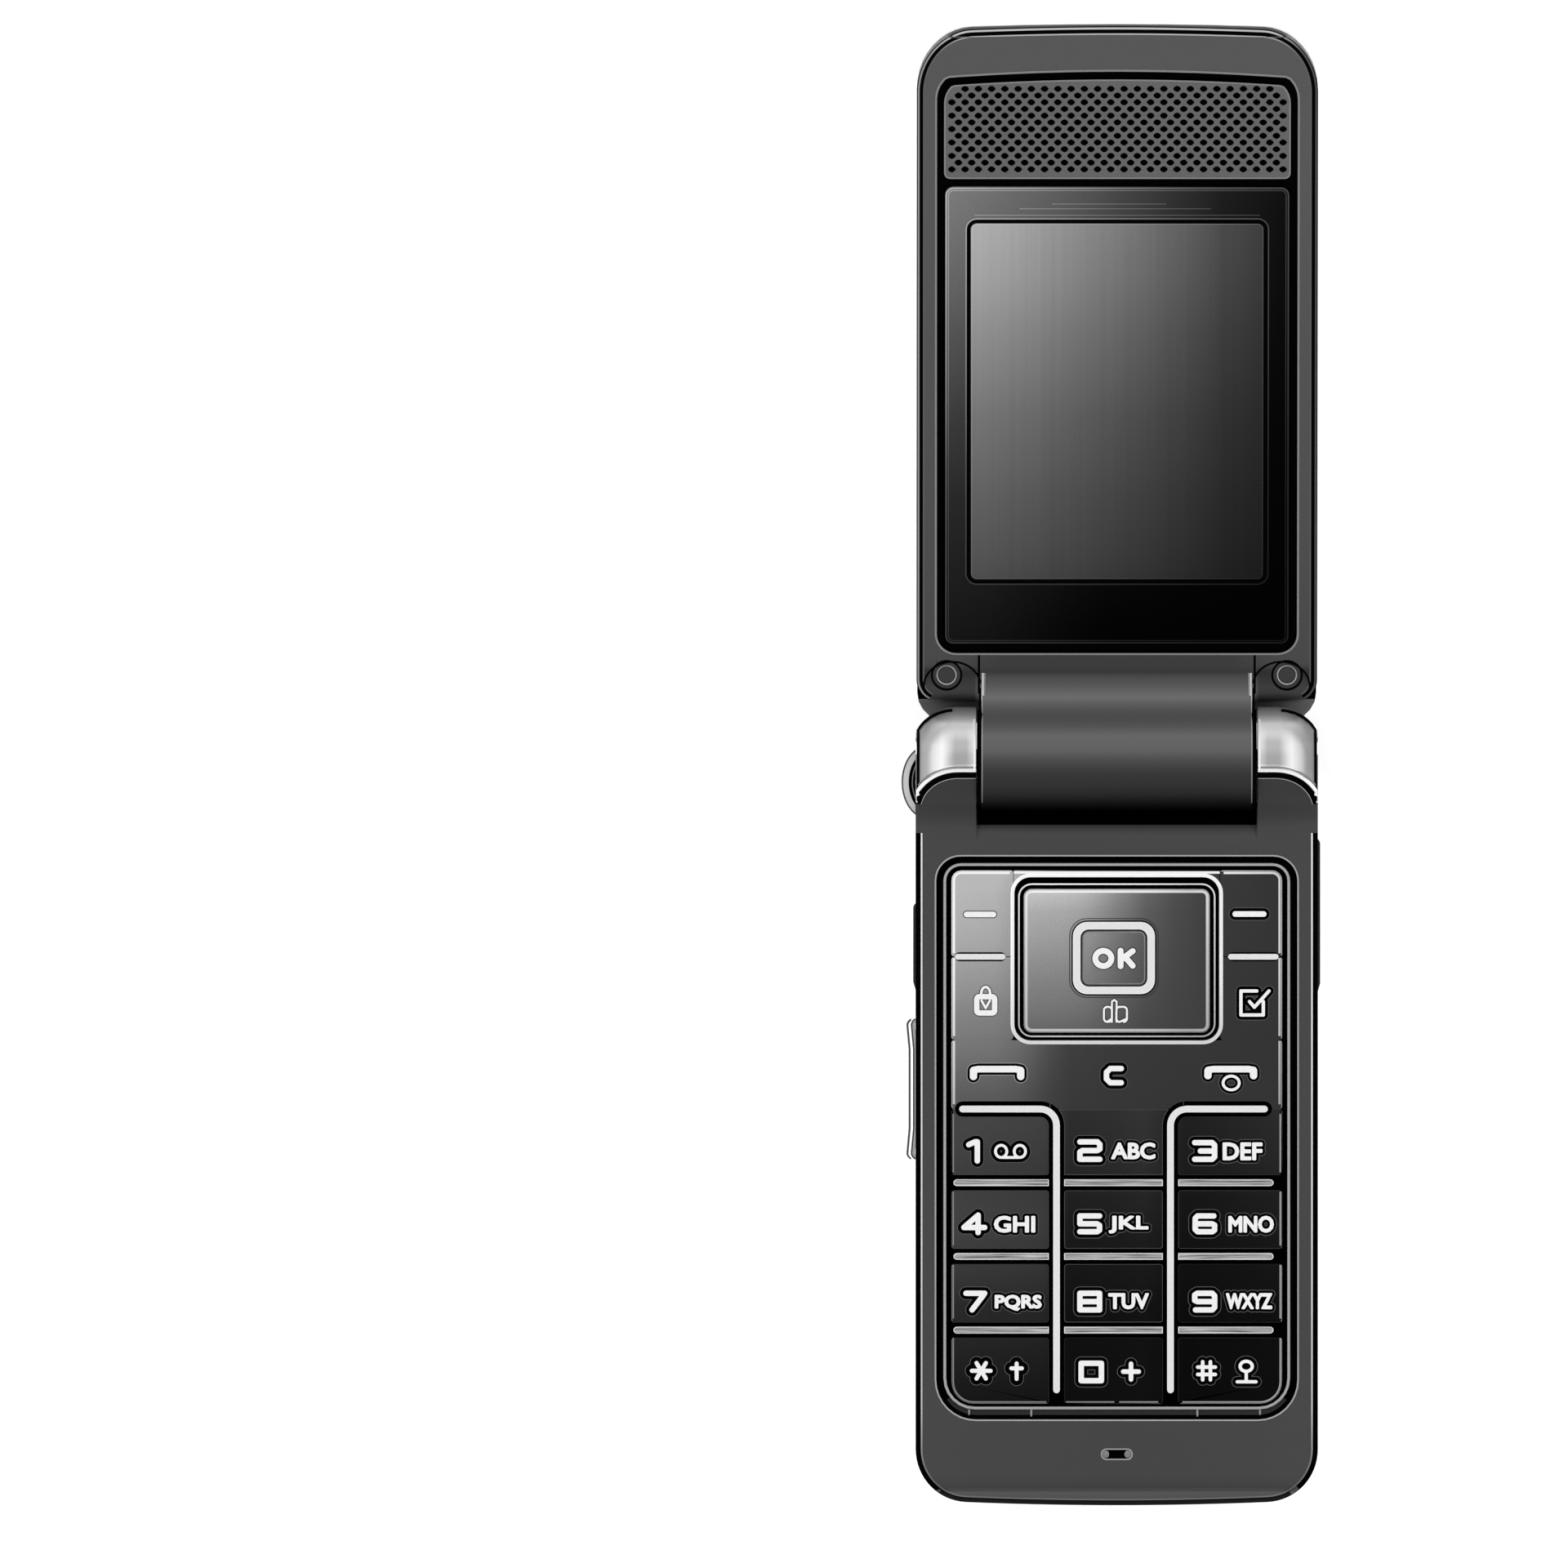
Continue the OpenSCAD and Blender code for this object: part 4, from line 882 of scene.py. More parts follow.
def legend(figure, x0, x1, y0, y1):
    node = "key_" + figure
    marks = Marks(node + "_marks", NODES[node]["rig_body"], KEY_Z)
    marks.strokes(digit(figure, x0, x1, y0, y1))
    return marks


LEGENDS = [
    ("2", -4.86, -1.75, 42.2, 45.0, "ABC", (-0.7, 4.75, 42.5, 44.6)),
    ("3", 9.24, 12.35, 42.2, 44.9, "DEF", (13.0, 17.9, 42.4, 44.6)),
    ("4", -19.1, -15.9, 33.2, 36.0, "GHI", (-15.1, -10.0, 33.5, 35.6)),
    ("5", -4.86, -1.78, 33.3, 35.9, "JKL", (-1.0, 3.9, 33.4, 35.6)),
    ("6", 9.3, 12.35, 33.3, 35.9, "MNO", (13.7, 19.3, 33.5, 35.6)),
    ("7", -18.85, -15.8, 23.7, 26.4, "PQRS", (-15.0, -9.2, 23.9, 25.9)),
    ("8", -4.86, -1.78, 23.7, 26.4, "TUV", (-1.05, 3.95, 24.1, 26.1)),
    ("9", 9.24, 12.35, 23.7, 26.4, "WXYZ", (13.4, 19.1, 24.1, 26.1)),
]


def print_keypad():
    for figure, x0, x1, y0, y1, word, box in LEGENDS:
        marks = legend(figure, x0, x1, y0, y1)
        marks.word(word, *box)
        marks.build()
    one = legend("1", -18.5, -16.8, 42.0, 45.0)
    reels = [[0.17, *ellipse(x, 43.5, 0.7, 0.75)] for x in (-14.2, -11.9)]
    one.strokes(reels + [[0.17, (-14.2, 42.75), (-11.9, 42.75)]])
    one.build()
    star = Marks("key_star_marks", NODES["key_star"]["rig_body"], KEY_Z)
    arms = [arc(-16.65, 16.55, 1.15, 1.1, a, a, 1)[0] for a in range(0, 360, 60)]
    star.strokes([[0.25, (-16.65, 16.55), p] for p in arms], halo=0.52)
    cross = [[0.24, (-12.3, 15.55), (-12.3, 17.45)], [0.24, (-12.95, 16.85), (-11.65, 16.85)]]
    star.strokes(cross, halo=0.56)
    star.build()
    zero = legend("0", -4.7, -1.56, 15.0, 17.8)
    zero.strokes([[0.28, (0.8, 16.45), (2.7, 16.45)], [0.28, (1.75, 15.5), (1.75, 17.4)]])
    zero.build()
    pound = Marks("key_hash_marks", NODES["key_hash"]["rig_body"], KEY_Z)
    uprights = [[0.22, (x, 15.45), (x, 17.65)] for x in (10.55, 11.5)]
    pound.strokes(uprights + [[0.22, (9.95, y), (12.1, y)] for y in (16.1, 17.0)])
    stand = [[0.2, (14.8, 15.2), (17.1, 15.2)], [0.2, (15.9, 16.5), (15.9, 15.2)]]
    pound.strokes([[0.2, *ellipse(15.9, 17.1, 0.75, 0.62)]] + stand)
    pound.build()


def handset(x0, x1, low, top):
    half = 0.4
    shoulder = (x0 + 1.0, top - half), (x1 - 1.0, top - half)
    return [
        [half, (x0 + 0.4, top - 0.5), *shoulder, (x1 - 0.4, top - 0.5)],
        [half + 0.05, (x0 + 0.4, top - 0.6), (x0 + 0.4, low + 0.4)],
        [half + 0.05, (x1 - 0.4, top - 0.6), (x1 - 0.4, low + 0.4)],
    ]


def symbol(name, node, strokes, surround=BLACK, edge=RIM, z=KEY_Z, **sizes):
    """One generic sign printed on a key."""
    marks = Marks(name, NODES[node]["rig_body"], z)
    marks.strokes(strokes, **sizes)
    marks.build(surround, edge)


def print_function_keys():
    symbol("send_key_marks", "send_key", handset(-18.0, -11.4, 52.3, 54.0), edge=LINE, halo=0.3)
    hang_up = handset(10.8, 17.2, 52.4, 54.0) + [[0.17, *ellipse(14.05, 51.9, 1.0, 0.85)]]
    symbol("end_key_marks", "end_key", hang_up, halo=0.3)
    curve = (0.55, 53.67), (-0.8, 53.67), (-1.27, 53.2), (-1.27, 52.4), (-0.8, 51.93), (0.55, 51.93)
    symbol("clear_key_marks", "clear_key", [[0.33, *curve]])
    plain = {"halo": 0.12, "rim": 0.0}
    symbol("left_soft_marks", "left_soft_key", [[0.34, (-18.45, 72.6), (-15.15, 72.6)]], RIM, **plain)
    symbol("right_soft_marks", "right_soft_key", [[0.34, (14.55, 72.65), (18.05, 72.65)]], halo=0.38)
    bag = [
        [0.33, *rounded(-17.2, -15.0, 60.5, 62.5, 0.3, 3), (-15.3, 60.5)],
        [0.14, (-16.6, 62.0), (-16.1, 61.1), (-15.6, 62.0)],
        [0.15, *arc(-16.1, 62.9, 0.55, 0.8, 0, 180, 8)],
    ]
    symbol("left_shortcut_marks", "left_shortcut_key", bag, RIM, **plain)
    memo = [
        [0.2, (17.2, 63.2), (15.25, 63.2), (15.25, 60.25), (18.0, 60.25), (18.0, 61.9)],
        [0.2, (16.3, 61.9), (16.9, 61.2), (18.7, 63.2)],
    ]
    symbol("right_shortcut_marks", "right_shortcut_key", memo, halo=0.38)
    ok = [
        [0.36, *ellipse(-1.65, 67.2, 0.99, 0.94)],
        [0.36, (0.47, 66.25), (0.47, 68.15)],
        [0.36, (0.75, 67.2), (1.95, 68.1)],
        [0.36, (1.05, 67.35), (1.95, 66.3)],
    ]
    symbol("ok_marks", "ok_key", ok, LEDGE, z=KEY_Z + 0.05, **plain)
    book = [
        [0.12, *rounded(-1.58, -0.6, 59.4, 61.25, 0.4, 4), (-0.6, 59.8)],
        [0.12, *rounded(-0.05, 1.25, 59.4, 61.25, 0.4, 4), (1.25, 59.8)],
        [0.11, (-0.6, 59.4), (-0.6, 61.9), (-0.3, 62.1), (-0.02, 61.9), (-0.05, 59.4)],
    ]
    symbol("book_marks", "nav_key", book, LEDGE, halo=0.1, rim=0.0, step=0.045)


# ------------------------------------------------------------------ base

RECESS = (-22.1, 22.1, 10.65, 79.65)
RECESS_LOW_R = 4.8
RECESS_TOP_R = 2.9
LEDGE_Z = 8.25
RIB = (-21.3, 21.3, 11.8, 78.9)
RIB_Z = 8.8
MIC_MOUTH = (-1.9, 1.9, 5.65, 6.95)
MIC_Y = 6.3
SHOULDER_Y = 82.6
SHOULDER_R = 3.88
CUT_Y = 86.3
CUT_Z = 11.0
CUT_SLOPE = 3.3 / 4.7
CHIN_Y = 1.85
CHIN_SLOPE = 2.8 / 1.6
STRAP_LOOP = (-23.3, 88.85)
STRAP_Z = 8.47
TICKS = ((-18.15, 11.15), (-10.5, 10.95), (9.9, 10.95), (17.6, 11.15))
# Lines round the strap bar: the dim line is painted shade, the light line a painted highlight, and the
# black ones painted shade in its gaps.
STRAP_LINES = (
    ("outer", 3.04, 4.4, 0.1, DIM),
    ("inner", 2.08, 3.4, 0.2, BLACK),
    ("arc", 1.8, 3.1, 0.08, LINE),
    ("gap", 1.58, 2.9, 0.16, BLACK),
)


def recess_depth(x, y):
    return inside_depth(x, y, *RECESS, RECESS_LOW_R if y < 45 else RECESS_TOP_R)


def shoulder_z(y):
    """Height of the dark shoulder and of the ear's oblique cut above it."""
    if y < SHOULDER_Y:
        return FACE_Z
    if y < CUT_Y:
        return FACE_Z + SHOULDER_R - math.sqrt(max(0.0, SHOULDER_R**2 - (y - SHOULDER_Y) ** 2))
    return CUT_Z + (y - CUT_Y) * CUT_SLOPE


def base_face_z(_x, y):
    """Height of the front case's face, down over the chin."""
    return FACE_Z - max(0.0, CHIN_Y - y) * CHIN_SLOPE


CORNER_X = 18.2
CORNER_Y = 6.885
CORNER_R = 6.5
BASE_BOW = 430


def base_outline():
    """Side and bottom edges of the base, from the left shoulder round to the right one."""
    side = (SHOULDER_Y, 60, 40, 20)
    pts = [(-HALF_W, y) for y in side] + arc(-CORNER_X, CORNER_Y, CORNER_R, CORNER_R, 180, 267, 16)
    pts += [(x, 0) for x in range(-16, 17, 2)]
    pts += arc(CORNER_X, CORNER_Y, CORNER_R, CORNER_R, -87, 0, 16) + [(HALF_W, y) for y in side[::-1]]
    return [(x, max(y, BASE_BOW - math.sqrt(BASE_BOW**2 - x * x))) for x, y in pts]


def front_paint(c, n):
    """Material of a face of the front case: 0 case, 1 black as painted shade on the recess's walls and on
    the faces under the barrel, 2 the rib's top in a painted highlight grey, 3 ledge.
    """
    if n.z > 0.9 and c.z > FACE_Z - 0.05:
        return 0
    if recess_depth(c.x, c.y) > -0.15 and c.y < 81:
        if c.z > 8.75 and n.z > 0.9:
            return 2
        if c.y < 11.9 and n.z > 0.9:
            return 3
        return 1
    if c.y > 83.9 and abs(c.x) < EAR_X and n.z > -0.2:
        return 1
    return 0


def dress_base():
    dress(
        "base_front_case",
        [DARK, BLACK, LINE, LEDGE],
        [(lambda a, b: min(a.z, b.z) > 8.9 and max(a.y, b.y) < 2.1, 0.9, 5, 0)],
        paint=front_paint,
        smooth=40,
    )
    body = NODES["base_front_case"]["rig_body"]
    edge = base_outline()
    # A black band over the rounded outer edge, painted as its shade, and inside it a painted highlight
    # line.
    wrap = [(0.0, -0.6), (0.0, 0.012), (0.62, 0.012)]
    strip("base_edge", edge, wrap, base_face_z, BLACK, body, closed=False)
    bead("base_edge_line", edge, 0.73, 0.2, base_face_z, BASE_LINE, body, 0.05, closed=False)
    frame_edge = rounded(*RECESS, RECESS_LOW_R, top=RECESS_TOP_R)
    # Black painted as shade at the recess's edge and a painted highlight line just outside it.
    band("recess_edge", frame_edge, -0.08, 0.02, FACE_Z, BLACK, body, lift=0.006)
    bead("recess_line", frame_edge, -0.17, 0.2, FACE_Z, LINE, body, 0.06)
    band("recess_shadow", frame_edge, 0.0, 0.48, LEDGE_Z, BLACK, body, lift=0.02)
    x0, x1, y0 = RECESS[:3]
    r = RECESS_LOW_R
    low_edge = arc(x0 + r, y0 + r, r, r, 215, 270, 8) + arc(x1 - r, y0 + r, r, r, 270, 325, 8)
    band("recess_ledge", low_edge, 0.48, 1.14, LEDGE_Z, LEDGE, body, closed=False, lift=0.025)
    rib = rounded(*RIB, 3.85, top=2.15)
    # Painted highlight line along the rib's top.
    bead("rib_line", rib, 0.17, 0.3, RIB_Z, LINE, body, 0.1)
    for i, (x, y) in enumerate(TICKS):
        tube("ledge_tick_%d" % i, [(x, y, 8.2), (x, y + 0.25, 8.26), (x, 11.78, 8.28)], 0.14, LINE, body)
    mouth = rounded(*MIC_MOUTH, 0.62)
    # Painted highlight round the microphone's mouth, and a black floor in it painted as shade.
    band("mic_edge", mouth, -0.06, 0.1, FACE_Z, LINE, body, lift=0.008)
    slab("mic_floor", offset(mouth, 0.02), 8.0, 8.3, 0.02, [BLACK, BLACK], body)
    for side, x in (("left", -1.45), ("right", 1.45)):
        lobe = [(0.5, 8.2, 0), (0.5, 8.86, 0), (0.36, 8.92, 0)]
        lathe("mic_lobe_" + side, x, MIC_Y, lobe, [SOFT_LINE], body)
    dress("base_rear_case", [SILVER], smooth=40)
    dress("battery_cover", [SILVER], smooth=40)
    dress("side_trims", [CHROME])
    dress("io_connector", [STEEL, BLACK], paint=lambda c, n: 1 if n.z > 0.5 else 0)
    dress("lanyard_loop", [BAR, STEEL], [(every_edge, 0.2, 2, 1)], smooth=60)
    loop = NODES["lanyard_loop"]["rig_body"]
    for name, rx, ry, r, mat in STRAP_LINES:
        path = [(x, y, STRAP_Z) for x, y in arc(*STRAP_LOOP, rx, ry, 110, 250, 24)]
        tube("strap_bar_" + name, path, r, mat, loop)
    volume_key()
    for node in ("port_cover", "card_cover"):
        dress(node, [FLAP], [(lambda a, b: abs(a.x) > 24.6 and abs(b.x) > 24.6, 0.2, 2, 0)])


VOLUME_Y = (42.4, 59.9)
VOLUME_Z = 6.9
VOLUME_SECTION = [(-1.1, 8.1), (-0.72, 8.1), (-0.42, 8.02), (-0.18, 7.82), (-0.04, 7.5), (0.0, 7.1)]
# Dark lines painted as shade on the chrome volume key: dim ones along its rim and crease, a black one in
# the gap beside it.
VOLUME_LINES = (
    ("rim", -0.12, 7.82, 0.09, DIM),
    ("crease", -0.66, 8.08, 0.1, DIM),
    ("gap", -1.3, 8.05, 0.16, BLACK),
)


def volume_reach(y):
    """How far the volume key stands out, with a lobe at each end."""
    end = min(y - VOLUME_Y[0], VOLUME_Y[1] - y)
    if end < 0.9:
        return 24.75 + 1.12 * math.sqrt(max(0.0, 1 - (1 - end / 0.9) ** 2))
    return 25.87 - 0.27 * min(1.0, (end - 0.9) / 3.0)


def volume_key():
    """Slim chrome key with a lobe at each end and dark lines painted along it as shade."""
    body = NODES["volume_key"]["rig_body"]
    mirrored = [(dx, 2 * VOLUME_Z - z) for dx, z in reversed(VOLUME_SECTION)]
    section = VOLUME_SECTION + mirrored
    low, high = VOLUME_Y
    rows = [low + 0.04 + 0.12 * k for k in range(8)]
    rows += [low + 1 + (high - low - 2) * k / 16 for k in range(17)]
    rows += [high - 0.04 - 0.12 * k for k in reversed(range(8))]
    verts, faces = [], []
    for y in rows:
        reach = volume_reach(y)
        verts += [(-max(23.5, reach + dx), y, z) for dx, z in section]
    n = len(section)
    for i in range(len(rows) - 1):
        faces += [(i * n + k, i * n + k + 1, (i + 1) * n + k + 1, (i + 1) * n + k) for k in range(n - 1)]
    faces.append(tuple(range(n)))
    faces.append(tuple(reversed(range((len(rows) - 1) * n, len(rows) * n))))
    add_mesh("volume_key_body", verts, faces, [CHROME], body, smooth=50, swaps=("volume_key",))
    inside = [y for y in rows if low + 0.15 < y < high - 0.15]
    for name, dx, z, r, mat in VOLUME_LINES:
        tube("volume_key_" + name, [(-(volume_reach(y) + dx), y, z) for y in inside], r, mat, body)


def ear_radius(x):
    """Half thickness of an ear at a distance from the middle plane."""
    if x < HALF_W - 5.0:
        return EAR_R
    u = min(1.0, (x - (HALF_W - 5.0)) / 5.0)
    return EAR_R - 4.2 + 4.2 * math.sqrt(1 - u * u)


def ear_top(x, y):
    r = ear_radius(x)
    if y > EAR_Y:
        return EAR_Z + math.sqrt(max(0.01, r * r - (y - EAR_Y) ** 2))
    return min(EAR_Z + r, shoulder_z(y))


def ear_paint(c, n):
    """Material of a face of an ear: 0 metal, 1 the face beside the barrel, painted black as shade in the
    gap.
    """
    return 1 if abs(c.x) < EAR_X + 0.05 and abs(n.x) > 0.9 else 0


def ear_material(sign):
    """Metal whose colour carries painted light: a painted highlight band across the ear's crown, a painted
    grey reflection field below it, and painted shade towards the outer end, the top and the flanks.
    """
    stops = [(-24.7, 0.12), (-24.2, 0.3), (-23.4, 0.5), (-22.6, 0.76), (-21.4, 0.94), (-15, 0.94)]
    if sign > 0:
        stops = [(-x, v) for x, v in reversed(stops)]
    height = ((86, 1.0), (95.9, 1.0), (96.5, 0.62), (97.2, 0.36), (97.9, 0.28), (98.6, 0.2))
    # Spots: a painted grey reflection field and painted shade on the upper and lower flanks.
    grey_reflection_field = sorted((sign * 17.7, sign * 20.7)) + [89.2, 95.0, 0.8, 1.2, 0.48]
    flank = sorted((sign * 21.6, sign * 25.5)) + [95.0, 99.0, 1.6, 1.6, 0.2]
    low_flank = sorted((sign * 22.2, sign * 25.5)) + [88.5, 96.0, 1.4, 2.0, 0.62 if sign > 0 else 0.9]
    return material(
        "ear_metal_right" if sign > 0 else "ear_metal_left", 8, 250,
        metal=0.3, rough=0.3, bump=0.01, spec=0.3,
        fades=(across(*stops), upward(86, 98.6, *height)),
        spots=(grey_reflection_field, flank, low_flank),
        spread=0.02,
    )


def ear_shade_line(sign):
    """Dark line painted as shade over the ear's outer end and up along its crown, close to the outline seen
    from above.
    """
    reach, lean = 24.35, math.radians(68)
    r = ear_radius(reach)
    path = [(reach, y, EAR_Z + r) for y in (86.5, 88.0, 90.0)]
    turns = [lean * k / 6 for k in range(7)]
    path += [(reach, EAR_Y + r * math.sin(t), EAR_Z + r * math.cos(t)) for t in turns]
    for k in range(1, 11):
        x = reach - (reach - 20.2) * k / 10
        r = ear_radius(x)
        path.append((x, EAR_Y + r * math.sin(lean), EAR_Z + r * math.cos(lean)))
    return [(sign * x, y, z) for x, y, z in path]


EAR_CUT = (19.5, 85.4, 5.2, 4.5)
# Lines along the ear's lower edge: the rim, crease and shoulder lines are painted highlights, the two black
# gaps painted shade.
EAR_LINES = (
    ("ear_rim", 0.42, -0.02, 0.26, BAR),
    ("ear_crease", 0.8, -0.06, 0.12, SOFT_LINE),
    ("ear_gap", 0.02, -0.1, 0.24, BLACK),
    ("shoulder_gap", -0.3, -0.06, 0.24, BLACK),
    ("shoulder_line", -0.58, 0.0, 0.07, LINE),
)


def beside_ear(sign, d, lift):
    """Line at a distance inside the ear's lower edge, on the surface there."""
    lower = [(EAR_X, EAR_CUT[1] + EAR_CUT[3])] + arc(*EAR_CUT, 90, 12, 14)
    edge = [(min(x, HALF_W - 0.3), y) for x, y in offset(lower, d, closed=False)]
    return [(sign * x, y, min(shoulder_z(y), EAR_Z + ear_radius(x) + 0.2) + lift) for x, y in edge]


def dress_ears():
    for side, sign in (("left", -1), ("right", 1)):
        node = side + "_hinge_ear"
        body = NODES[node]["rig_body"]
        dress(node, [ear_material(sign), BLACK], paint=ear_paint, smooth=38)
        for name, d, lift, r, mat in EAR_LINES:
            tube("%s_%s" % (side, name), beside_ear(sign, d, lift), r, mat, body)
        # Painted highlight along the ear's inner edge beside the barrel.
        inner = [90.2 + 0.45 * i for i in range(15)]
        path = [(sign * (EAR_X + 0.18), y, ear_top(EAR_X, y) - 0.06) for y in inner]
        tube(side + "_ear_inner_rim", path, 0.17, BAR, body)
        tube(side + "_ear_shade_line", ear_shade_line(sign), 0.26, BLACK, body)


# ------------------------------------------------------------------ keys

NUMBER_KEYS = ["key_%d" % i for i in range(1, 10)] + ["key_star", "key_0", "key_hash"]
FUNCTION_KEYS = [
    "left_soft_key",
    "right_soft_key",
    "left_shortcut_key",
    "right_shortcut_key",
    "send_key",
    "clear_key",
    "end_key",
]


def at_level(top, test=None):
    """Edge test: both ends at a height, and optionally a test of each end."""

    def check(a, b):
        level = min(a.z, b.z) > top - 0.03 and max(a.z, b.z) < top + 0.03
        return level and (test is None or (test(a) and test(b)))

    return check


def key_paint(_c, n):
    """Material of a face of a key: 0 top, 1 sides and back painted black as shade in the slots."""
    return 1 if n.z < 0.5 else 0


FIELD = (-20.3, 20.3, 12.5, 78.0)
FIELD_LOW_R = 2.7
FIELD_TOP_R = 1.2


def field_rim(p):
    """True on the outer edge of the whole field of keys."""
    return inside_depth(p.x, p.y, *FIELD, FIELD_LOW_R if p.y < 45 else FIELD_TOP_R) < 0.06


def field_path(step=0.6):
    """Edge of the whole field of keys as a closed line of near points, from below the middle."""
    corners = rounded(*FIELD, FIELD_LOW_R, top=FIELD_TOP_R)
    pts = []
    for a, b in zip(corners, corners[1:] + corners[:1]):
        count = max(1, round(math.dist(a, b) / step))
        dx, dy = b[0] - a[0], b[1] - a[1]
        pts += [(a[0] + dx * k / count, a[1] + dy * k / count) for k in range(count)]
    start = min(range(len(pts)), key=lambda i: math.dist(pts[i], (0.0, FIELD[2])))
    return pts[start:] + pts[:start]


def key_rim(node, d0, d1, mat):
    """Painted highlight line on a key along the edge of the whole field."""
    xs = [v.co.x / MM for v in NODES[node].data.vertices]
    ys = [v.co.y / MM + BASE_LENGTH / 2 for v in NODES[node].data.vertices]
    body = NODES[node]["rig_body"]
    runs = [[]]
    for x, y in field_path():
        if min(xs) - 0.01 < x < max(xs) + 0.01 and min(ys) + 0.05 < y + 0.1 < max(ys) + 0.11:
            runs[-1].append((x, y))
        elif runs[-1]:
            runs.append([])
    for i, run in enumerate(runs):
        if len(run) > 3:
            band("%s_edge_%d" % (node, i), run, d0, d1, KEY_Z, mat, body, closed=False, lift=0.008)


BAR_X = 7.0
BAR_SHIFT = -0.4
OK_X = -0.35
ROW_WEB_Y = (48.64, 48.76)
WEB_Z = (8.3, 8.69)
NAV_MID = 66.9
NAV_WELL = (-12.7, 12.7, 57.0, 77.3)
NAV_WELL_R = 2.1
NAV_RIM = (-12.15, 12.15, 57.5, 76.45)
NAV_RIM_R = 1.7
OK_RING = (OK_X - 5.05, OK_X + 5.05, 62.8, 71.7)
OK_RING_R = 1.75


def nav_edge(p):
    """True on the outer edge of the navigation key."""
    return abs(p.x) > 8 or abs(p.y - NAV_MID) > 8.4


def nav_paint(c, n):
    """Material of a face of the navigation key: 0 top, 1 sides painted black as shade, 2 the raised ring.
    """
    if c.z > 8.75:
        return 2
    return 1 if n.z < 0.5 else 0


ROW_BARS = (39.65, 30.6, 21.55)


def keypad_paint(c, n):
    """Material of a face of the keypad frame: 0 upright bar, 1 black as painted shade on low and downward
    faces and inside the rim round the navigation key, 2 brushed bar, 3 top strip.
    """
    if c.z < 7.5 or n.z < -0.5:
        return 1
    on_row = min(abs(c.y - y) for y in ROW_BARS) < 0.6
    if on_row and abs(abs(c.x - BAR_SHIFT) - BAR_X) > 0.5:
        return 2
    if c.y > 55 and abs(c.x) < 12.8:
        return 1 if inside_depth(c.x, c.y, *NAV_RIM, NAV_RIM_R) > -0.1 else 3
    return 0


def upright(p):
    """True on the bars, away from the rim and the strip round the navigation key."""
    return p.y < 55 or abs(p.x) > 12.9


def dress_keys():
    # Number keys: a painted highlight bevel along the field's edge and a dim painted line round each top.
    for node in NUMBER_KEYS:
        dress(
            node,
            [KEYS, BLACK, DIM, KEY_EDGE],
            [(at_level(KEY_Z, field_rim), 0.16, 2, 3), (at_level(KEY_Z), 0.07, 1, 2)],
            paint=key_paint,
        )
        key_rim(node, 0.14, 0.3, KEY_EDGE)
    # Function keys: a painted highlight bevel and band along the field's edge.
    for node in FUNCTION_KEYS:
        cut = (at_level(KEY_Z, field_rim), 0.2, 3, 2)
        dress(node, [FUNCTION, BLACK, FIELD_EDGE], [cut], paint=key_paint)
        key_rim(node, 0.16, 0.44, FIELD_EDGE)
    body = NODES["keypad_frame"]["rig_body"]
    webs = [("key_web_%d" % i, x, x + 7.1, 57.14, 57.26) for i, x in enumerate((-20.0, 12.9))]
    webs += [("key_web_%d" % i, x - 0.06, x + 0.06, 48.8, 56.9) for i, x in ((2, -8.2), (3, 8.2))]
    webs += [("row_web_0", -7.1, 6.3, *ROW_WEB_Y), ("row_web_1", 19.1, 20.2, *ROW_WEB_Y)]
    webs += [("row_web_2", -20.2, -19.9, *ROW_WEB_Y)]
    for name, *box in webs:
        slab(name, rounded(*box, 0.02, 1), WEB_Z[0], WEB_Z[1], 0.01, [FUNCTION, FUNCTION], body)
    # Painted highlights on the rim of the navigation key's well and along the field's top edge.
    well = rounded(*NAV_WELL, NAV_WELL_R)
    steps = [(-0.34, 0.0), (-0.26, 0.05), (-0.05, 0.07), (0.1, 0.0), (0.14, -0.3)]
    strip("nav_well_rim", well, steps, KEY_Z, FIELD_EDGE, body)
    top_edge = [(12.64 - 1.58 * i, FIELD[3]) for i in range(17)]
    band("field_top_edge", top_edge, 0.1, 0.4, KEY_Z, FIELD_EDGE, body, closed=False, lift=0.008)
    dress(
        "keypad_frame",
        [BAR, BLACK, ROW_BAR, FUNCTION],
        [(at_level(KEY_Z, upright), 0.24, 3, 0)],
        paint=keypad_paint,
        smooth=60,
    )
    # Painted highlight line on the rim round the navigation key.
    bead("nav_rim_line", rounded(*NAV_RIM, NAV_RIM_R), 0.13, 0.2, KEY_Z, NAV_EDGE, body, 0.07)
    ring = rounded(*OK_RING, OK_RING_R)
    nav_body = NODES["nav_key"]["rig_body"]
    # Navigation key with painted highlight bevels on its ring and outer edge.
    dress(
        "nav_key",
        [NAV, BLACK, BAR, NAV_EDGE],
        [(at_level(8.85), 0.2, 3, 2), (at_level(KEY_Z, nav_edge), 0.5, 3, 3)],
        paint=nav_paint,
    )
    # Black painted as shade round the OK ring, and the ring's painted shade beside it.
    band("ok_ring_outer", ring, -0.16, 0.02, KEY_Z, BLACK, nav_body, lift=0.015)
    band("ok_ring_shade", ring, -0.44, -0.34, KEY_Z, LEDGE, nav_body, lift=0.012)
    # OK key with a painted highlight bevel.
    dress("ok_key", [NAV, BLACK, SOFT_LINE], [(at_level(8.75), 0.2, 2, 2)], paint=key_paint)


# ------------------------------------------------------------------ lid


LOBE_Y = 6.75
LOBE_ROUND = 1.3
LOBE_CORNER = 3.0
TIP_BOW = 500
TIP_START = 10
TIP_FALL = 0.35
CREST = 1.2
CREST_SLOPE = 0.85 / 1.3


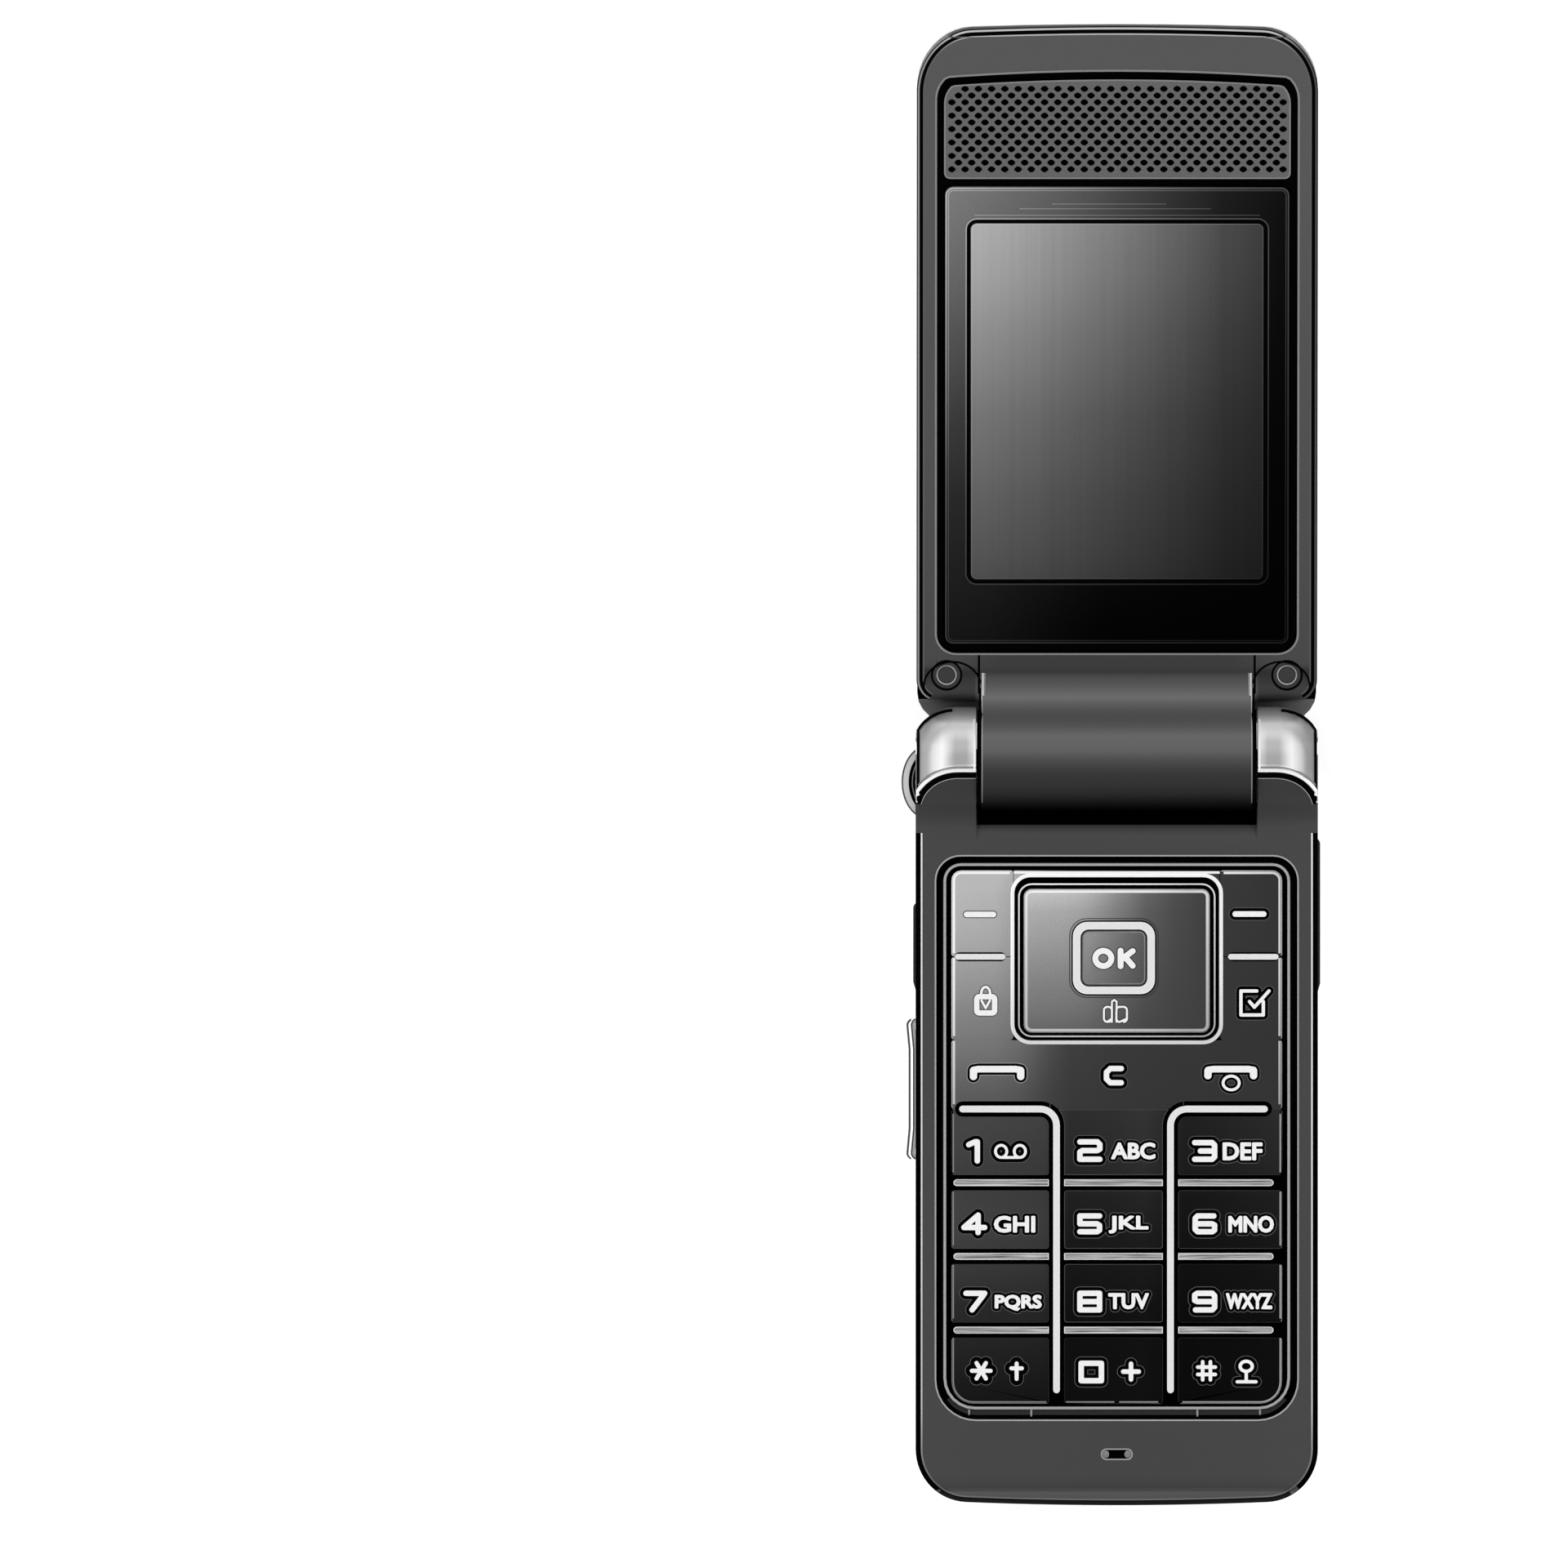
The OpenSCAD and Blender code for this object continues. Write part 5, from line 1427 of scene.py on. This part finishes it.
def lid_face_z(x, y):
    """Height of the lid's screen side, down towards the tip and round the lower edge of the lobes."""
    if abs(x) > BARREL_X and y < LOBE_Y + LOBE_ROUND:
        drop = min(LOBE_ROUND, LOBE_Y + LOBE_ROUND - y)
        return SCREEN_Z - LOBE_ROUND + math.sqrt(LOBE_ROUND**2 - drop**2)
    if y < LID_LENGTH - TIP_START:
        return SCREEN_Z
    dip = 0.02 * max(0.0, 1 - abs(y - LID_LENGTH + CREST) / 0.15)
    if y < LID_LENGTH - CREST:
        return SCREEN_Z - (y - LID_LENGTH + TIP_START) * TIP_FALL / (TIP_START - CREST) - dip
    return SCREEN_Z - TIP_FALL - (y - LID_LENGTH + CREST) * CREST_SLOPE - dip


def lid_outline():
    """Edge of the lid's screen side, from its right lower corner over the tip to the left one."""
    centre = LID_HALF_W - LOBE_CORNER
    right = arc(centre, LOBE_Y + LOBE_CORNER, LOBE_CORNER, LOBE_CORNER, -60, 0, 8)
    right += [(LID_HALF_W, y) for y in (20, 40, 60, LID_LENGTH - TIP_START)]
    right += arc(LID_HALF_W - 7.0, LID_LENGTH - 8.114, 7.0, 7.8, 0, 88, 26)
    top = arc(0, LID_LENGTH - TIP_BOW, TIP_BOW, TIP_BOW, 88, 92, 16)
    return right + top + [(-x, y) for x, y in reversed(right)]


LID_RECESS = (-22.1, 22.1, 13.1, 86.2)
LID_BOW = 280


def recess_outline():
    return bowed(rounded(*LID_RECESS, 2.4, top=3.4), LID_RECESS[3], LID_BOW)


def outer_paint(c, n):
    """Material of a face of the outer cover: 0 case, 1 black painted as shade on the inner faces and those
    towards the hinge, 2 the slopes beside the hinge in a dark grey painted as shade.
    """
    if n.z > 0.3:
        return 2 if c.y < 8 and n.z < 0.98 else 1
    return 1 if c.y < 9 and abs(c.x) < 20 and n.z > -0.3 else 0


def lid_paint(c, n):
    """Material of a face of the inner cover: 0 case, 1 black painted as shade on the barrel's ends, on the
    rounded hinge ends of the lobes, and on the sunk floors of the recess and round the screw caps.
    """
    if BARREL_X - 0.1 < abs(c.x) < BARREL_X + 0.2 and c.y < 7.5 and abs(n.x) > 0.8:
        return 1
    if c.y < 9.5 and abs(c.x) > BARREL_X + 0.05 and n.z < 0.5:
        return 1
    sunk = c.z < lid_face_z(c.x, c.y) - 0.06
    if sunk and inside_depth(c.x, c.y, *LID_RECESS, 2.4) > -0.1 and c.z > -5:
        return 1
    if sunk and math.hypot(abs(c.x) - CAP_X, c.y - CAP_Y) < 2:
        return 1
    return 0


GRILLE_X = 21.3
GRILLE_Y = (72.7, 85.3)
HOLE_PITCH = 1.624
ROW_PITCH = 0.842
ROW_START = 84.07
HOLE_ROWS = 13


def hole(x, y, rx=0.49, ry=0.4, points=12, power=1.25):
    """Lozenge with round corners."""
    out = []
    for k in range(points):
        c, q = math.cos(2 * math.pi * k / points), math.sin(2 * math.pi * k / points)
        out.append((x + rx * math.copysign(abs(c) ** power, c), y + ry * math.copysign(abs(q) ** power, q)))
    return out


def grille_outline(grow=0.0):
    x, low, high = GRILLE_X + grow, GRILLE_Y[0] - grow, GRILLE_Y[1] + grow
    return bowed(rounded(-x, x, low, high, 0.8 + grow, top=3.0 + grow), high, LID_BOW + grow)


def grille():
    """Perforated plate: rows of small lozenges, each row shifted by half a pitch."""
    outline = grille_outline(-0.05)
    loops = [outline]
    for j in range(HOLE_ROWS):
        y = ROW_START - j * ROW_PITCH
        count = 25 if j % 2 else 26
        if j == 0:
            count = 24
        loops += [hole((i - (count - 1) / 2) * HOLE_PITCH, y) for i in range(count)]
    verts, faces = sheet(loops, WINDOW_Z)
    index = [0] * len(faces)
    start = 0
    # The walls of the plate's edge and of each hole are painted black as shade.
    for k, loop in enumerate(loops):
        n = len(loop)
        low = len(verts)
        verts += [(x, y, WINDOW_Z - 0.45) for x, y in loop]
        for i in range(n):
            j = (i + 1) % n
            side = (start + i, low + i, low + j, start + j)
            faces.append(side if k == 0 else tuple(reversed(side)))
            index.append(1)
        start += n
    body = NODES["earpiece_grille"]["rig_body"]
    mats = [GRILLE, BLACK]
    add_mesh("earpiece_plate", verts, faces, mats, body, LID, index, smooth=20, swaps=("earpiece_grille",))
    slab("earpiece_cloth", outline, -1.8, -1.62, 0.01, [BLACK, BLACK], body, LID)
    # Painted highlight along the plate's edge.
    bead("earpiece_rim", outline, 0.1, 0.2, WINDOW_Z, SOFT_LINE, body, 0.06, LID)


WINDOW = (-21.1, 21.1, 14.25, 71.7)
DISPLAY = (-18.0, 18.0, 22.3, 67.2)
# Painted glints across the window's top: start, end and height of each.
GLINT_LINES = ((-12.0, 11.5, 69.0), (-8.0, 6.0, 69.6), (-17.5, 17.5, 68.2))


def screen():
    body = NODES["display_window"]["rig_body"]
    pane = rounded(*WINDOW, 1.0)
    slab("window_pane", pane, -2.1, WINDOW_Z, 0.2, [GLASS, GLASS], body, LID, ("display_window",))
    # Painted highlight lines on the window's rim and round the display.
    bead("window_rim", pane, 0.12, 0.18, WINDOW_Z, GLASS_RIM, body, 0.05, LID)
    band("window_rim_inner", pane, 0.36, 0.46, WINDOW_Z, GLASS_RIM, body, LID, lift=0.012)
    lcd = rounded(*DISPLAY, 0.8)
    band("lcd_outer_line", lcd, -0.62, -0.46, WINDOW_Z, GLASS_RIM, body, LID, lift=0.012)
    band("lcd_border", lcd, -0.46, 0.0, WINDOW_Z, BLACK, body, LID, lift=0.01)
    slab("lcd_face", lcd, WINDOW_Z - 0.05, WINDOW_Z + 0.03, 0.16, [LCD, LCD_RIM], body, LID)
    # Thin light lines across the window's top, painted as glints in the rim's highlight grey.
    mats = [GLASS_RIM, GLASS_RIM]
    for i, (x0, x1, y) in enumerate(GLINT_LINES):
        glint_line = rounded(x0, x1, y - 0.04, y + 0.04, 0.03, 2)
        slab("streak_%d" % i, glint_line, WINDOW_Z - 0.02, WINDOW_Z + 0.015, 0.01, mats, body, LID)


CAP_X = 20.9
CAP_Y = 10.3
LENS_Y = 3.05


def screw_caps():
    body = NODES["lid_screw_caps"]["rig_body"]
    # The light ring in each cap's profile is a painted highlight.
    profile = [(1.95, -1.07, 0), (1.93, -1.03, 0), (1.7, -1.03, 0), (1.68, -1.16, 2), (1.3, -1.2, 0)]
    profile += [(1.26, -1.16, 1), (1.18, -1.08, 1), (1.08, -1.16, 0), (1.02, -1.2, 2), (0.98, -1.14, 2)]
    for side, x in (("left", -CAP_X), ("right", CAP_X)):
        swaps = ("lid_screw_caps",) if side == "left" else ()
        lathe(side + "_screw_cap", x, CAP_Y, profile, [BLACK, LINE, CAP], body, LID, swaps=swaps)


NECK_Y = 9.4
NECK_R = 3.2
LOBE_GAP = (20.2, 8.9, 3.5, 3.1)
LOBE_TAB = (22.5, 23.7, 7.6, 9.2)


def neck_lines():
    """Thin painted highlight lines down both sides of the neck and the barrel, with wider painted
    highlights at the top, and black lines painted as shade in the gaps beside them.
    """
    body = NODES["lid_inner_cover"]["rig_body"]
    path = arc(NECK_Y, SCREEN_Z + NECK_R, NECK_R, NECK_R, 262, 225, 5) + [(6.5, 0.9)]
    path += arc(0, 0, BARREL_R, BARREL_R, 16, 135, 24)
    for side, sign in (("left", -1), ("right", 1)):
        x = sign * (BARREL_X - 0.1)
        tube(side + "_neck_line", [(x, v, w - 0.02) for v, w in path], 0.075, NECK_LINE, body, LID)
        top = [(10.6, SCREEN_Z)] + path[:4]
        for name, inward, r, mat in (("painted_highlight", 0.2, 0.16, EDGE), ("soft_painted_highlight", 0.42, 0.14, SOFT_LINE)):
            painted_highlight = [(sign * (BARREL_X - inward), v, w - 0.04) for v, w in top]
            tube(side + "_neck_" + name, painted_highlight, r, mat, body, LID)
        # Black lines painted as shade in the gap beside the barrel and along the neck.
        gap = [(sign * (BARREL_X + 0.04), v, w - 0.3) for v, w in [(11.4, SCREEN_Z)] + path]
        tube(side + "_neck_gap", gap, 0.24, BLACK, body, LID)
        gap_shade = [(sign * (BARREL_X + 0.28), v, SCREEN_Z - 0.24) for v in (13.0, 8.0)]
        tube(side + "_neck_seam", gap_shade, 0.3, BLACK, body, LID)


def corner_lobes():
    """Black lines painted as shade round the lobes that sit round the screw caps at the lid's two lower
    corners, and a small dark tab beside each lobe.
    """
    body = NODES["lid_inner_cover"]["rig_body"]
    for side, sign in (("left", -1), ("right", 1)):
        # Black line painted as shade round each lobe.
        rim = [(sign * x, y, lid_face_z(25, y) - 0.02) for x, y in arc(*LOBE_GAP, -15, 172, 24)]
        tube(side + "_lobe_gap", rim, 0.13, BLACK, body, LID)
        # Small tab of the outer cover's corner, painted dark grey as shade.
        tab = [(sign * x, y) for x, y in rounded(*LOBE_TAB, 0.3, 2)][::sign]
        slab(side + "_lobe_tab", tab, -1.5, -1.2, 0.05, [DIM, BLACK], body, LID)


def camera_front():
    body = NODES["camera_window"]["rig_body"]
    # The lens's profile: a painted blue glint in its middle, inside a grey ring.
    profile = [(2.45, 6.9, 0), (2.4, 7.2, 0), (1.55, 7.25, 2), (0.95, 7.28, 0)]
    profile += [(0.45, 7.31, 1), (0.15, 7.34, 1)]
    lathe("lens", 0, LENS_Y, profile, [LENS, LENS_GLINT, CAP], body, OUTSIDE)


def bezel_front(a, b):
    """True on the edges at the camera bezel's outer face."""
    return a.z < -7.7 and b.z < -7.7


def dress_lid():
    dress("lid_inner_cover", [LID_CASE, BLACK], space=LID, paint=lid_paint, smooth=40)
    body = NODES["lid_inner_cover"]["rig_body"]
    edge = lid_outline()
    # Lines along the lid's edge: the black ones painted as the edge's shade, the light ones painted
    # highlights, and a painted highlight round the screen's recess.
    band("lid_edge_outer", edge, 0.0, 0.12, lid_face_z, BLACK, body, LID, closed=False)
    bead("lid_edge_light", edge, 0.24, 0.22, lid_face_z, LID_RIM, body, 0.015, LID, closed=False)
    rows = [(0.35 + 0.07 * k, 0.012) for k in range(7)]
    strip("lid_edge_inner", edge, rows, lid_face_z, BLACK, body, LID, closed=False)
    bead("lid_edge_line", edge, 0.86, 0.16, lid_face_z, LID_LINE, body, 0.02, LID, closed=False)
    bead("screen_frame_line", recess_outline(), -0.14, 0.26, lid_face_z, SOFT_LINE, body, 0.08, LID)
    dress("lid_outer_cover", [SILVER, BLACK, DIM], space=LID, paint=outer_paint, smooth=40)
    dress("lid_front_panel", [PANEL, BLACK], [(every_edge, 0.1, 1, 1)], space=LID, smooth=40)
    dress("lid_panel_trim", [BAR, BLACK], [(every_edge, 0.12, 1, 1)], space=LID, smooth=40)
    dress("camera_bezel", [BAR], [(bezel_front, 0.3, 3, 0)], space=LID, smooth=50)
    dress("camera_lens_ring", [BAR], [(every_edge, 0.1, 2, 0)], space=LID, smooth=50)
    dress("hinge_cover_plate", [DARK_BRUSHED], [(every_edge, 0.1, 1, 0)], space=LID, smooth=30)
    grille()
    screen()
    screw_caps()
    corner_lobes()
    neck_lines()
    camera_front()


# ------------------------------------------------------------------ stage, light and camera

FLOOR_HALF = 3
FLOOR_Z = -2e-5
SKY_STRENGTH = 1.4
SKY_TILT = math.radians(12)
SKY_RING = ((0.0, 0.05), (0.1, 0.05), (0.26, 1.0), (0.82, 1.0), (0.91, 0.24), (1.0, 0.2))


def build_stage():
    side = FLOOR_HALF
    corners = [(x, y, FLOOR_Z) for x, y in ((-side, -side), (side, -side), (side, side), (-side, side))]
    me = bpy.data.meshes.new("floor")
    me.from_pydata(corners, [], [(0, 1, 2, 3)])
    pale = material("pale_floor", 250, 254, rough=0.6, spec=0.0, bump=0.0, grain=(40, 40, 40))
    shader = pale.node_tree.nodes["Principled BSDF"]
    shader.inputs["Emission Color"].default_value = grey(255)
    shader.inputs["Emission Strength"].default_value = 0.3
    me.materials.append(pale)
    floor = bpy.data.objects.new("floor", me)
    bpy.context.scene.collection.objects.link(floor)


def build_light():
    """Soft bright ring of light round a darker zenith, dark towards the horizon."""
    world = bpy.data.worlds.new("studio")
    bpy.context.scene.world = world
    world.use_nodes = True
    nt = world.node_tree
    background = nt.nodes["Background"]
    background.inputs["Strength"].default_value = SKY_STRENGTH
    coord = nt.nodes.new("ShaderNodeTexCoord").outputs["Generated"]
    axis = (0, -math.sin(SKY_TILT), math.cos(SKY_TILT))
    nt.links.new(fade(nt, coord, axis, 0.0, 1.0, SKY_RING), background.inputs["Color"])


FRAME_PX = 1920
PX_PER_MM = 9.97
LENS_MM = 1500.0
SENSOR_MM = 36.0
CAMERA_X = -40.87
CAMERA_Y = 39.57


def build_camera():
    data = bpy.data.cameras.new("camera")
    data.lens = LENS_MM
    data.sensor_width = SENSOR_MM
    camera = bpy.data.objects.new("camera", data)
    bpy.context.scene.collection.objects.link(camera)
    distance = FRAME_PX * LENS_MM / (SENSOR_MM * PX_PER_MM)
    camera.location = (CAMERA_X * MM, CAMERA_Y * MM, (FACE_Z + distance) * MM)
    bpy.context.scene.camera = camera
    bpy.context.scene.view_settings.view_transform = "Standard"


dress_base()
dress_ears()
dress_keys()
print_keypad()
print_function_keys()
dress_lid()
build_stage()
build_light()
build_camera()
